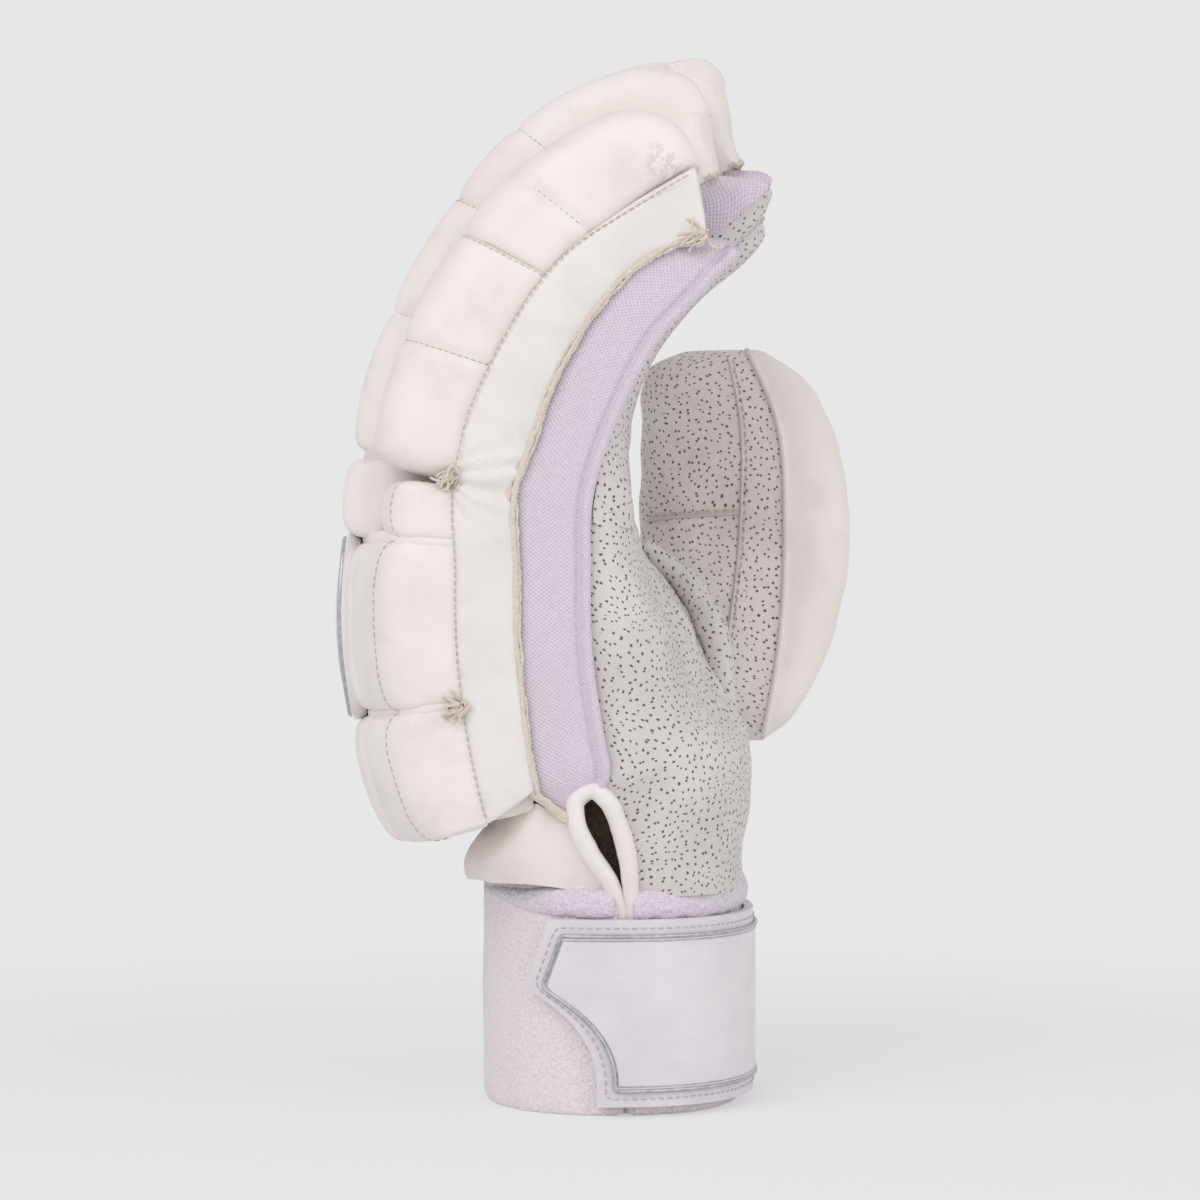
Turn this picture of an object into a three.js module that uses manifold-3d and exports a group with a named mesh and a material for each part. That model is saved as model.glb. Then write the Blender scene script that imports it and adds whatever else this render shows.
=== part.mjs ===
// A right-hand padded batting glove, standing on its cuff.
// Millimetres: +X points out of the palm, +Y towards the thumb, +Z towards the fingertips.
import * as THREE from "three";
import { mergeVertices } from "three/addons/utils/BufferGeometryUtils.js";
import Module from "manifold-3d";

const wasm = await Module();
wasm.setup();

// Clearances
const sewnGap = 0.3; // between pieces that are sewn or glued face to face
const fingerGap = 0.7; // between neighbouring fingers
const bendMargin = 1; // degrees left over when a finger is fully bent

// Fingers: how long each half is and how high its padded roll stands above the palm side
const fingerPitch = 25;
const fingers = [
  { name: "little", column: -1.5, baseLength: 44, tipLength: 38, rollTop: 54 },
  { name: "ring", column: -0.5, baseLength: 50, tipLength: 49, rollTop: 58.5 },
  { name: "middle", column: 0.5, baseLength: 52, tipLength: 51, rollTop: 58.5 },
  { name: "index", column: 1.5, baseLength: 49, tipLength: 48, rollTop: 56 },
];
const rollTipTop = 38;
const bendHeight = 9; // the finger bends about a line this far above its palm side
const knuckleBend = 50; // degrees that the knuckle joint closes from rest
const middleBend = 60; // degrees that the middle joint closes from rest

// Sheet and wall thicknesses
const leather = 1.6;
const knit = 1.5;
const stallDepth = 19.4; // palm side to the back of the knit, under the roll
const barDepth = 32.6; // palm side to the seam between the side bar and the roll
const sideBarBulge = 3.2;

// Lean of the glove's back line from upright, in degrees, at the wrist, the knuckles and along a finger
const wristLean = -15;
const knuckleLean = 8;
const middleLean = 28;
const tipLean = 64;

// Hand: the back line runs from the wrist crease up to the knuckles
const wristCrease = { x: -8.4, z: 78 };
const handLength = 75;
const archHeight = 6; // the middle columns stand this much further back than the edges
const archHalfWidth = 55;
const knuckleRise = 7; // the longest column's knuckle stands this far above the hand line's end
const knuckleBarLength = 14.6;
const backBlockLength = 34.5;
const blockEdgeTop = 51;
const blockCrown = 7;
const badgeThickness = 3.2;
const badgeHalfWidth = 19;
const badgeLength = 37;

// Palm: how far its leather bulges in front of the hand line, from the wrist to the fingers
const palmBulge = { cuff: 31, heel: 39, hollow: 14, fingers: 6 };
const palmFullness = 2.4;

// Wrist slit and its rolled binding
const slitTopWidth = 13;
const slitWidth = 10;
const bindingDiameter = 4.4;

// Cuff
const cuffHeight = 53;
const cuffCentreX = -2;
const cuffHalfDepth = 33;
const cuffHalfWidth = 45;
const cuffWall = 4.6;
const cuffFullness = 2.3;
const slitX = 1;

// Strap: angles are counted round the cuff from the palm, positive towards the thumb
const strapLow = 2.6;
const strapHigh = 48;
const strapThickness = 3;
const strapSewnAngle = 95;
const strapAnchorAngle = 112;
const strapFoldAngle = -38;
const strapEndAngle = -150;
const hookThickness = 1.1;
const tabCorner = { x: -17.7 };
const tabPoint = { x: -23.5, z: 31.5 };
const tabWaist = { x: -6, z: 11 };

// Thumb: sizes in its own upright frame, from the middle of the passage into the hand
const thumbPivot = { x: 18, z: 103 };
const thumbTilt = 6;
const thumbHalfThickness = 14;
const thumbWall = 1.8;
const passageHalfWidth = 12; // the oval way from the hand into the thumb
const passageHalfHeight = 15;
const webRim = 3; // leather collar round that way
const webReach = 14;
const thumbFront = [[-15, 10], [0, -7], [20, -12], [55, -12], [80, -9.5], [91, 4]];
const thumbSeam = [[-15, 21], [0, 24], [40, 27], [70, 25], [91, 17]];
const thumbBack = [[-15, 24], [-6, 36], [12, 43], [42, 45.5], [68, 42], [84, 33], [91, 20]];

const fingerHalf = (fingerPitch - fingerGap) / 2;
const handHalf = 2 * fingerPitch - fingerGap / 2;
const radians = THREE.MathUtils.degToRad;
const lerp = THREE.MathUtils.lerp;
const point = (x, y) => new THREE.Vector2(x, y);
const signedPower = (value, power) => Math.sign(value) * Math.abs(value) ** power;

// Solids

function signedVolume(geometry) {
  const corner = geometry.getAttribute("position");
  const order = geometry.index.array;
  const [a, b, c] = [new THREE.Vector3(), new THREE.Vector3(), new THREE.Vector3()];
  let volume = 0;
  for (let i = 0; i < order.length; i += 3) {
    a.fromBufferAttribute(corner, order[i]);
    b.fromBufferAttribute(corner, order[i + 1]);
    c.fromBufferAttribute(corner, order[i + 2]);
    volume += a.dot(b.cross(c)) / 6;
  }
  return volume;
}

function capTriangles(outline) {
  return THREE.ShapeUtils.triangulateShape(outline, []).map(([a, b, c]) =>
    THREE.ShapeUtils.area([outline[a], outline[b], outline[c]]) < 0 ? [c, b, a] : [a, b, c],
  );
}

// A closed solid through a row of matching outlines; place() puts a point of an outline in space.
function loft(stations) {
  const turned = THREE.ShapeUtils.area(stations[0].outline) < 0;
  const rows = stations.map(({ outline, place }) => ({
    outline: turned ? [...outline].reverse() : outline,
    place,
  }));
  const count = rows[0].outline.length;
  const corners = rows.flatMap(({ outline, place }) => outline.flatMap((p) => place(p.x, p.y).toArray()));
  const order = [];
  for (let row = 0; row + 1 < rows.length; row++)
    for (let i = 0; i < count; i++) {
      const near = row * count + i;
      const next = row * count + ((i + 1) % count);
      order.push(near, next, next + count, near, next + count, near + count);
    }
  const last = (rows.length - 1) * count;
  for (const [a, b, c] of capTriangles(rows[0].outline)) order.push(c, b, a);
  for (const [a, b, c] of capTriangles(rows.at(-1).outline)) order.push(last + a, last + b, last + c);
  const geometry = new THREE.BufferGeometry();
  geometry.setAttribute("position", new THREE.Float32BufferAttribute(corners, 3));
  geometry.setIndex(order);
  if (signedVolume(geometry) < 0) geometry.setIndex(order.reverse());
  return geometry;
}

function solidOf(geometry) {
  const bare = geometry.clone();
  bare.deleteAttribute("normal");
  bare.deleteAttribute("uv");
  const merged = mergeVertices(bare, 1e-4);
  return new wasm.Manifold(
    new wasm.Mesh({
      numProp: 3,
      vertProperties: new Float32Array(merged.getAttribute("position").array),
      triVerts: new Uint32Array(merged.index.array),
    }),
  );
}

function geometryOf(solid) {
  const mesh = solid.getMesh();
  const geometry = new THREE.BufferGeometry();
  geometry.setAttribute("position", new THREE.BufferAttribute(new Float32Array(mesh.vertProperties), 3));
  geometry.setIndex(new THREE.BufferAttribute(new Uint32Array(mesh.triVerts), 1));
  return geometry;
}

function carve(geometry, ...tools) {
  return geometryOf(tools.reduce((solid, tool) => solid.subtract(solidOf(tool)), solidOf(geometry)));
}

function box(low, high) {
  const size = high.map((value, i) => value - low[i]);
  const geometry = new THREE.BoxGeometry(...size);
  return geometry.translate(...low.map((value, i) => value + size[i] / 2));
}

// Lines that the glove is laid out along, in the XZ plane

function arcLine(start, lean, endLean, length) {
  const bend = radians(endLean - lean) / length;
  return (s) => {
    const inside = THREE.MathUtils.clamp(s, 0, length);
    const angle = radians(lean) + bend * inside;
    const middle = radians(lean) + (bend * inside) / 2;
    const half = (bend * inside) / 2;
    const chord = Math.abs(half) < 1e-9 ? inside : (inside * Math.sin(half)) / half;
    return {
      x: start.x + chord * Math.sin(middle) + (s - inside) * Math.sin(angle),
      z: start.z + chord * Math.cos(middle) + (s - inside) * Math.cos(angle),
      angle,
    };
  };
}

// A place s along the line, at y across it and v above the palm side.
function lay(line, s, y, v) {
  const at = line(s);
  const above = v - bendHeight;
  return new THREE.Vector3(at.x - above * Math.cos(at.angle), y, at.z + above * Math.sin(at.angle));
}

const arch = (y) => archHeight * (1 - (y / archHalfWidth) ** 2);
const rise = (y) => knuckleRise * (1 - ((y - 0.4 * fingerPitch) / (2.1 * fingerPitch)) ** 2);
const handLine = arcLine(wristCrease, wristLean, knuckleLean, handLength);
// On the hand, s is counted from the knuckles, so it is negative towards the wrist.
const onHand = (s, y, v) => lay(handLine, s + handLength, y, v + arch(y));

function fingerLine(finger) {
  const knuckle = onHand(rise(finger.y), finger.y, bendHeight);
  const base = arcLine(knuckle, knuckleLean, middleLean, finger.baseLength);
  const tip = arcLine(base(finger.baseLength), middleLean, tipLean, finger.tipLength);
  return (s) => (s <= finger.baseLength ? base(s) : tip(s - finger.baseLength));
}

// The wedge that a bending finger closes, on the palm side of its joint.
function bendWedge(line, s, low, high, bend) {
  const at = line(s);
  const half = radians(bend / 2 + bendMargin);
  const reach = 4 * bendHeight;
  const side = (turn) =>
    point(at.x + reach * Math.cos(at.angle + turn), at.z - reach * Math.sin(at.angle + turn));
  const outline = [point(at.x, at.z), side(half), side(-half)];
  const slab = (y) => ({ outline, place: (x, z) => new THREE.Vector3(x, y, z) });
  return loft([slab(low), slab(high)]);
}

// Adds places until none are further apart than longestStep, so that chords stay close to the curve.
const longestStep = 9;
function subdivide(places) {
  return places.flatMap((place, i) => {
    if (i === 0) return [place];
    const before = places[i - 1];
    const parts = Math.ceil((place - before) / longestStep);
    return Array.from({ length: parts }, (_, k) => lerp(before, place, (k + 1) / parts));
  });
}

// A long strip's outline, with enough points on its two long sides to follow a curved line.
const stripParts = 8;
function longStrip(from, to, bottom, top) {
  const places = Array.from({ length: stripParts + 1 }, (_, i) => lerp(from, to, i / stripParts));
  return [...places.map((s) => point(s, bottom)), ...places.reverse().map((s) => point(s, top))];
}

// Outlines across the fingers

const rectangle = (low, high, bottom, top) => [
  point(low, bottom),
  point(high, bottom),
  point(high, top),
  point(low, top),
];

const archSides = 10;
const archFullness = 2.7;
// An arch on straight legs that reach down below its floor, where leg is more than nothing.
function archOutline(centre, half, bottom, top, leg) {
  const outline = Array.from({ length: archSides + 1 }, (_, i) => {
    const turn = (Math.PI * i) / archSides;
    return point(
      centre + half * signedPower(Math.cos(turn), 2 / archFullness),
      bottom + (top - bottom) * Math.sin(turn) ** (2 / archFullness),
    );
  });
  const feet = [point(centre - half, bottom - leg), point(centre + half, bottom - leg)];
  return leg > 0 ? [...outline, ...feet] : outline;
}

// Padded rolls

const seamDip = 1.3;
const seamReach = 2.4;
const rollEndRadius = { knuckle: 9, tip: 10 };
const rollTaper = 2.3; // a roll keeps its height longer where this is larger
const rollEndShare = 0.42;
const tipSeamShare = 0.3; // the seam across the tip half lies this far along it

function endShare(distance, radius) {
  const inside = 1 - Math.min(Math.max(distance, 0) / radius, 1);
  return rollEndShare + (1 - rollEndShare) * Math.sqrt(1 - inside * inside);
}

// Half width and height of a roll at s, with its rounded ends and the dips at its seams.
function rollShape(finger, s, seams) {
  const length = finger.baseLength + finger.tipLength;
  const share = endShare(s, rollEndRadius.knuckle) * endShare(length - s, rollEndRadius.tip);
  const top = lerp(finger.rollTop, rollTipTop, (s / length) ** rollTaper);
  const dip = Math.max(...seams.map((seam) => Math.max(0, 1 - Math.abs(s - seam) / seamReach)));
  return {
    half: fingerHalf * (0.35 + 0.65 * share) - 0.35 * seamDip * dip,
    top: stallDepth + sewnGap + (top - stallDepth) * share - seamDip * dip,
  };
}

// The roll drawn in by inset on every side but its floor, which is raised, or opened by legs.
function rollSolid(finger, line, places, seams, inset, raised, leg) {
  const bottom = stallDepth + sewnGap + raised;
  const [first, last] = [places[0], places.at(-1)];
  return loft(
    places.map((place) => {
      const s = THREE.MathUtils.mapLinear(place, first, last, first + inset, last - inset);
      const { half, top } = rollShape(finger, place, seams);
      return {
        outline: archOutline(finger.y, half - inset, bottom, top - inset, leg),
        place: (y, v) => lay(line, s, y, v),
      };
    }),
  );
}

function rollPieces(finger, line, part) {
  const middle = finger.baseLength;
  const end = middle + finger.tipLength;
  const seams = [middle / 2, middle, middle + tipSeamShare * finger.tipLength];
  const around = (seam) => [seam - seamReach, seam, seam + seamReach];
  const places = subdivide(
    part === "base"
      ? [2 * sewnGap, 3, 6, rollEndRadius.knuckle, ...around(seams[0]), middle - seamReach, middle - sewnGap / 2]
      : [middle + sewnGap / 2, middle + seamReach, ...around(seams[2]), ...[10, 6, 3, 1].map((d) => end - d)],
  );
  const outer = rollSolid(finger, line, places, seams, 0, 0, 0);
  const hollow = rollSolid(finger, line, places, seams, leather, 0, leather);
  const core = rollSolid(finger, line, places, seams, leather + sewnGap, sewnGap, 0);
  return { cover: carve(outer, hollow), foam: core };
}

// Knit stall and palm leather of one half of a finger

function stallPieces(finger, line, part) {
  const middle = finger.baseLength;
  const end = middle + finger.tipLength;
  const [from, to] = part === "base" ? [sewnGap, middle - sewnGap / 2] : [middle + sewnGap / 2, end];
  const steps = 6;
  const sweep = (start, stop, outline) =>
    loft(
      Array.from({ length: steps + 1 }, (_, i) => {
        const s = lerp(start, stop, i / steps);
        return { outline, place: (y, v) => lay(line, s, y, v) };
      }),
    );
  const across = (half, bottom, top) => rectangle(finger.y - half, finger.y + half, bottom, top);
  const shell = sweep(from, to, across(fingerHalf, leather + sewnGap, stallDepth));
  const past = 2 * knit;
  const room = sweep(
    from - past,
    part === "base" ? to + past : to - knit,
    across(fingerHalf - knit, -leather, stallDepth - knit),
  );
  const sheet = sweep(from, to, across(fingerHalf, 0, leather));
  const reliefs = [bendWedge(line, middle, finger.y - fingerPitch, finger.y + fingerPitch, middleBend)];
  if (part === "base")
    reliefs.push(bendWedge(line, 0, finger.y - fingerPitch, finger.y + fingerPitch, knuckleBend));
  return { knit: carve(shell, room, ...reliefs), leather: carve(sheet, ...reliefs) };
}

// Side bars: padded strips on the little-finger and thumb edges

const barTaper = 0.8; // the bar narrows to this share at the fingertip
function barOutline(edge, bottom, top) {
  const inner = edge + Math.sign(edge) * sewnGap;
  const outer = inner + Math.sign(edge) * sideBarBulge;
  const rim = lerp(inner, outer, 0.55);
  const round = 0.2 * (top - bottom);
  return [
    point(inner, bottom),
    point(rim, bottom),
    point(outer, bottom + round),
    point(outer, top - round),
    point(rim, top),
    point(inner, top),
  ];
}

function sideBar(place, from, to, edge, topAt) {
  const steps = 7;
  return loft(
    Array.from({ length: steps + 1 }, (_, i) => {
      const s = lerp(from, to, i / steps);
      return { outline: barOutline(edge, stallDepth - sewnGap, topAt(s)), place: (y, v) => place(s, y, v) };
    }),
  );
}

function fingerSideBar(finger, line, part) {
  const middle = finger.baseLength;
  const end = middle + finger.tipLength;
  const [from, to] = part === "base" ? [sewnGap, middle - sewnGap / 2] : [middle + sewnGap / 2, end - 2 * leather];
  const edge = finger.y + Math.sign(finger.y) * fingerHalf;
  const topAt = (s) => stallDepth + (barDepth - stallDepth) * lerp(1, barTaper, s / end);
  return sideBar((s, y, v) => lay(line, s, y, v), from, to, edge, topAt);
}

// Back of the hand

const blockCorner = 5;
const blockEnd = 4;

// A crowned block from y = low to high across the hand and from one place along it to another.
function crownedBlock({ low, high, from, to, bottom, top }) {
  const ends = [0, 0.35, 1].map((share) => share * blockEnd);
  const stations = subdivide([...ends.map((d) => low + d), ...ends.reverse().map((d) => high - d)]);
  return loft(
    stations.map((y) => {
      const inset = Math.min(y - low, high - y, blockEnd) / blockEnd;
      const crown = top(y) - blockCorner * (1 - Math.sqrt(1 - (1 - inset) ** 2)) * 0.7;
      const [start, stop] = [from(y), to(y)];
      const rounding = [0, 0.3, 1].map((share) => share * blockCorner);
      const rim = (d) => crown - blockCorner * (1 - Math.sqrt(1 - (1 - d / blockCorner) ** 2));
      const along = (near, far) => Array.from({ length: 3 }, (_, i) => lerp(near, far, (i + 1) / 4));
      const outline = [
        point(start, bottom),
        ...rounding.map((d) => point(start + d, rim(d))),
        ...along(start + blockCorner, stop - blockCorner).map((s) => point(s, crown)),
        ...[...rounding].reverse().map((d) => point(stop - d, rim(d))),
        point(stop, bottom),
        ...along(stop, start).map((s) => point(s, bottom)),
      ];
      return { outline, place: (s, v) => onHand(s, y, v) };
    }),
  );
}

const blockBottom = barDepth + sewnGap;
const blockTop = (y) => blockEdgeTop + blockCrown * (1 - (y / handHalf) ** 2);
const backBlockFrom = -knuckleBarLength - backBlockLength;
const wristBlockFrom = -handLength - 1;

function knuckleBar(finger) {
  return crownedBlock({
    low: finger.y - fingerHalf,
    high: finger.y + fingerHalf,
    from: () => -knuckleBarLength + sewnGap,
    to: (y) => rise(finger.y) - 2 * sewnGap,
    bottom: blockBottom,
    top: () => finger.rollTop - blockCorner,
  });
}

function backBlock(low, high) {
  return crownedBlock({
    low: low + sewnGap / 2,
    high: high - sewnGap / 2,
    from: () => backBlockFrom + sewnGap,
    to: () => -knuckleBarLength - sewnGap,
    bottom: blockBottom,
    top: blockTop,
  });
}

function wristBlock() {
  return crownedBlock({
    low: -handHalf,
    high: handHalf,
    from: () => wristBlockFrom,
    to: () => backBlockFrom - sewnGap,
    bottom: blockBottom,
    top: blockTop,
  });
}

function badgePlate() {
  const middle = backBlockFrom + backBlockLength / 2;
  const steps = 6;
  return loft(
    Array.from({ length: steps + 1 }, (_, i) => {
      const y = lerp(-badgeHalfWidth, badgeHalfWidth, i / steps);
      const narrowing = Math.sqrt(1 - 0.55 * (y / badgeHalfWidth) ** 4);
      const half = (badgeLength / 2) * narrowing;
      const bottom = blockTop(y) + sewnGap;
      const outline = longStrip(middle - half, middle + half, bottom, bottom + badgeThickness);
      return { outline, place: (s, v) => onHand(s, y, v) };
    }),
  );
}

function foamUnderlay() {
  const steps = 8;
  const half = handHalf - 2 * sewnGap;
  return loft(
    Array.from({ length: steps + 1 }, (_, i) => {
      const y = lerp(-half, half, i / steps);
      const knuckle = Math.min(...fingers.map((f) => (Math.abs(y - f.y) <= 0.6 * fingerPitch ? rise(f.y) : Infinity)));
      const outline = longStrip(-handLength, knuckle - 2 * sewnGap, stallDepth + sewnGap, barDepth);
      return { outline, place: (s, v) => onHand(s, y, v) };
    }),
  );
}

function handSideBar(side) {
  const from = -handLength;
  const edge = fingers.find((f) => Math.sign(f.y) === side && Math.abs(f.column) > 1);
  return sideBar(onHand, from, rise(edge.y) - sewnGap, side * handHalf, () => barDepth);
}

// Knit gussets on the two edges of the hand
function gusset(side) {
  const edge = fingers.find((f) => Math.sign(f.y) === side && Math.abs(f.column) > 1);
  const outer = side * handHalf;
  const inner = outer - side * knit;
  const steps = 8;
  const strip = loft(
    Array.from({ length: steps + 1 }, (_, i) => {
      const s = lerp(-handLength, rise(edge.y) - sewnGap, i / steps);
      const outline = rectangle(inner, outer, sewnGap, stallDepth - 2 * sewnGap);
      return { outline, place: (y, v) => onHand(s, y, v) };
    }),
  );
  return carve(strip, bendWedge(edge.line, 0, -2 * handHalf, 2 * handHalf, knuckleBend));
}

// Palm and wrist leather: half-oval shells on the two sides of the hand line

const palmSides = 16;
function halfOval(half, depth, baseline) {
  return Array.from({ length: palmSides + 1 }, (_, i) => {
    const turn = (Math.PI * i) / palmSides;
    const y = half * signedPower(Math.cos(turn), 2 / palmFullness);
    return point(y, baseline(y) + depth * Math.sin(turn) ** (2 / palmFullness));
  });
}

function shellOutline(half, depth, baseline, wall) {
  const outer = halfOval(half, depth, baseline);
  const inner = halfOval(half - wall, depth - Math.sign(depth) * wall, baseline);
  return [...outer, ...inner.reverse()];
}

// Bulge of the palm at s, through its named values.
const palmCurve = new THREE.SplineCurve([
  point(-handLength - 45, -palmBulge.cuff),
  point(-handLength - 22, -palmBulge.cuff),
  point(-0.9 * handLength, -palmBulge.heel),
  point(-0.62 * handLength, -lerp(palmBulge.hollow, palmBulge.heel, 0.7)),
  point(-0.3 * handLength, -palmBulge.hollow),
  point(0, -palmBulge.fingers),
]);
const palmSteps = 15;

// How far the slit's edge stands off the gusset line at s: nothing above the slit.
function slitOffset(s, width) {
  const below = THREE.MathUtils.clamp((-handLength - s) / 3, 0, 1);
  return below * width;
}

function palmSolid(grow, wall) {
  return loft(
    palmCurve.getPoints(palmSteps).map((p) => {
      const baseline = (y) => -slitOffset(p.x, slitTopWidth / 2 - 3) * (0.5 - y / (2 * handHalf));
      const half = handHalf - knit - sewnGap + grow;
      const outline = wall
        ? shellOutline(half, p.y - grow, baseline, wall)
        : halfOval(half, p.y - grow, baseline);
      return { outline, place: (y, v) => onHand(p.x, y, v) };
    }),
  );
}

const belowCuffTop = () => box([-200, -200, -200], [200, 200, cuffHeight + sewnGap]);

function palmLeather() {
  const wedges = fingers.map((f) =>
    bendWedge(f.line, 0, f.y - fingerPitch / 2 - fingerGap, f.y + fingerPitch / 2 + fingerGap, knuckleBend),
  );
  const passage = passagePost(0, webFace - webReach, 0).applyMatrix4(thumbMatrix());
  return carve(palmSolid(0, leather), ...wedges, belowCuffTop(), passage);
}

function wristBack() {
  const places = [-handLength - 40, -handLength - 30, -handLength - 20, -handLength - 10, -handLength - 1.5];
  const depths = [22, 25, 26, 21, 12];
  const cuffPlace = -handLength - 25;
  const shell = loft(
    places.map((s, i) => {
      const open = THREE.MathUtils.clamp((s - cuffPlace) / slitTopWidth, 0, 1);
      const edgeHeight = lerp(slitWidth, slitTopWidth + 1.5, open);
      const baseline = (y) => lerp(edgeHeight, 2 * sewnGap, 0.5 + y / (2 * handHalf));
      const outline = shellOutline(handHalf - knit - sewnGap, depths[i], baseline, leather);
      return { outline, place: (y, v) => onHand(s, y, v) };
    }),
  );
  return carve(shell, belowCuffTop());
}

// Thumb, in an upright frame of its own that is turned out by thumbTilt

const thumbOffset = handHalf + sewnGap + thumbHalfThickness - knit;
const webFace = -thumbHalfThickness - 2 * sewnGap;
const curveThrough = (rows) => new THREE.SplineCurve(rows.map(([w, a]) => point(w, a)));
function heightAt(curve, w) {
  let [low, high] = [0, 1];
  for (let i = 0; i < 30; i++) {
    const middle = (low + high) / 2;
    if (curve.getPoint(middle).x < w) low = middle;
    else high = middle;
  }
  return curve.getPoint(low).y;
}
const frontCurve = curveThrough(thumbFront);
const seamCurve = curveThrough(thumbSeam);
const backCurve = curveThrough(thumbBack);
const thumbLow = thumbFront[0][0];
const thumbHigh = thumbFront.at(-1)[0];

function thumbThickness(w) {
  const toTip = THREE.MathUtils.clamp((thumbHigh - w) / 26, 0, 1);
  const toRoot = THREE.MathUtils.clamp((w - thumbLow) / 14, 0, 1);
  const share = Math.sqrt(1 - (1 - toTip) ** 2) * 0.65 + 0.35;
  return thumbHalfThickness * share * (0.6 + 0.4 * Math.sqrt(1 - (1 - toRoot) ** 2));
}

const thumbSides = 12;
const thumbFullness = 2.6;
// Half oval from the seam out to reach, on straight legs that go back past the seam.
function thumbOutline(w, inset, seam, reach, leg) {
  const half = thumbThickness(w) - inset;
  const outline = Array.from({ length: thumbSides + 1 }, (_, i) => {
    const turn = (Math.PI * i) / thumbSides;
    return point(
      seam + (reach - seam) * Math.sin(turn) ** (2 / thumbFullness),
      half * signedPower(Math.cos(turn), 2 / thumbFullness),
    );
  });
  const back = seam - Math.sign(reach - seam) * leg;
  return leg > 0 ? [...outline, point(back, -half), point(back, half)] : outline;
}

const thumbSteps = 13;
const thumbPlaces = Array.from({ length: thumbSteps + 1 }, (_, i) =>
  lerp(thumbLow, thumbHigh, (1 - Math.cos((Math.PI * i) / thumbSteps)) / 2),
);

// The front or back half of the thumb, drawn in by inset on every side but its seam, which is shifted.
function thumbHalf(curve, inset, seamShift, leg) {
  return loft(
    thumbPlaces.map((place) => {
      const w = THREE.MathUtils.mapLinear(place, thumbLow, thumbHigh, thumbLow + inset, thumbHigh - inset);
      const seam = heightAt(seamCurve, place) + seamShift;
      const reach = heightAt(curve, place);
      const drawnIn = reach - Math.sign(reach - seam) * inset;
      return { outline: thumbOutline(place, inset, seam, drawnIn, leg), place: (a, b) => new THREE.Vector3(a, b, w) };
    }),
  );
}

// An oval post through the thumb's passage, from one depth to another in the thumb's frame.
const passageSides = 20;
function passagePost(grow, from, to) {
  const outline = Array.from({ length: passageSides }, (_, i) => {
    const turn = (2 * Math.PI * i) / passageSides;
    return point(
      (passageHalfWidth + grow) * signedPower(Math.cos(turn), 2 / thumbFullness),
      (passageHalfHeight + grow) * signedPower(Math.sin(turn), 2 / thumbFullness),
    );
  });
  const level = (b) => ({ outline, place: (a, w) => new THREE.Vector3(a, b, w) });
  return loft([level(from), level(to)]);
}

function thumbMatrix() {
  const turn = new THREE.Matrix4().makeRotationX(-radians(thumbTilt));
  return turn.setPosition(thumbPivot.x, thumbOffset, thumbPivot.z);
}

function thumbPieces() {
  const outside = thumbHalf(frontCurve, 0, 0, 0);
  const inside = thumbHalf(frontCurve, thumbWall, 0, thumbWall);
  const passage = passagePost(0, -2 * thumbHalfThickness, 0);
  const pad = thumbHalf(backCurve, 0, sewnGap, 0);
  const hollow = thumbHalf(backCurve, leather, sewnGap, leather);
  const core = thumbHalf(backCurve, leather + sewnGap, 2 * sewnGap, 0);
  return { stall: carve(outside, inside, passage), cover: carve(pad, hollow), foam: core };
}

// Leather collar between the palm and the thumb's passage.
function thumbWeb() {
  const collar = passagePost(webRim, webFace - webReach, webFace).applyMatrix4(thumbMatrix());
  const way = passagePost(0, webFace - webReach - 1, webFace + 1).applyMatrix4(thumbMatrix());
  return carve(collar, way, palmSolid(sewnGap, 0));
}

// Cuff, slit binding and strap

function cuffPoint(turn, out) {
  return point(
    cuffCentreX + (cuffHalfDepth + out) * signedPower(Math.cos(turn), 2 / cuffFullness),
    (cuffHalfWidth + out) * signedPower(Math.sin(turn), 2 / cuffFullness),
  );
}

const cuffSides = 36;
function cuffSolid(out, low, high) {
  const outline = Array.from({ length: cuffSides }, (_, i) => cuffPoint((2 * Math.PI * i) / cuffSides, out));
  const level = (z) => ({ outline, place: (x, y) => new THREE.Vector3(x, y, z) });
  return loft([level(low), level(high)]);
}

function cuffBand() {
  const slit = box([slitX - slitWidth / 2, -2 * cuffHalfWidth, -1], [slitX + slitWidth / 2, 0, cuffHeight + 1]);
  return carve(cuffSolid(0, 0, cuffHeight), cuffSolid(-cuffWall, -1, cuffHeight + 1), slit);
}

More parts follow.
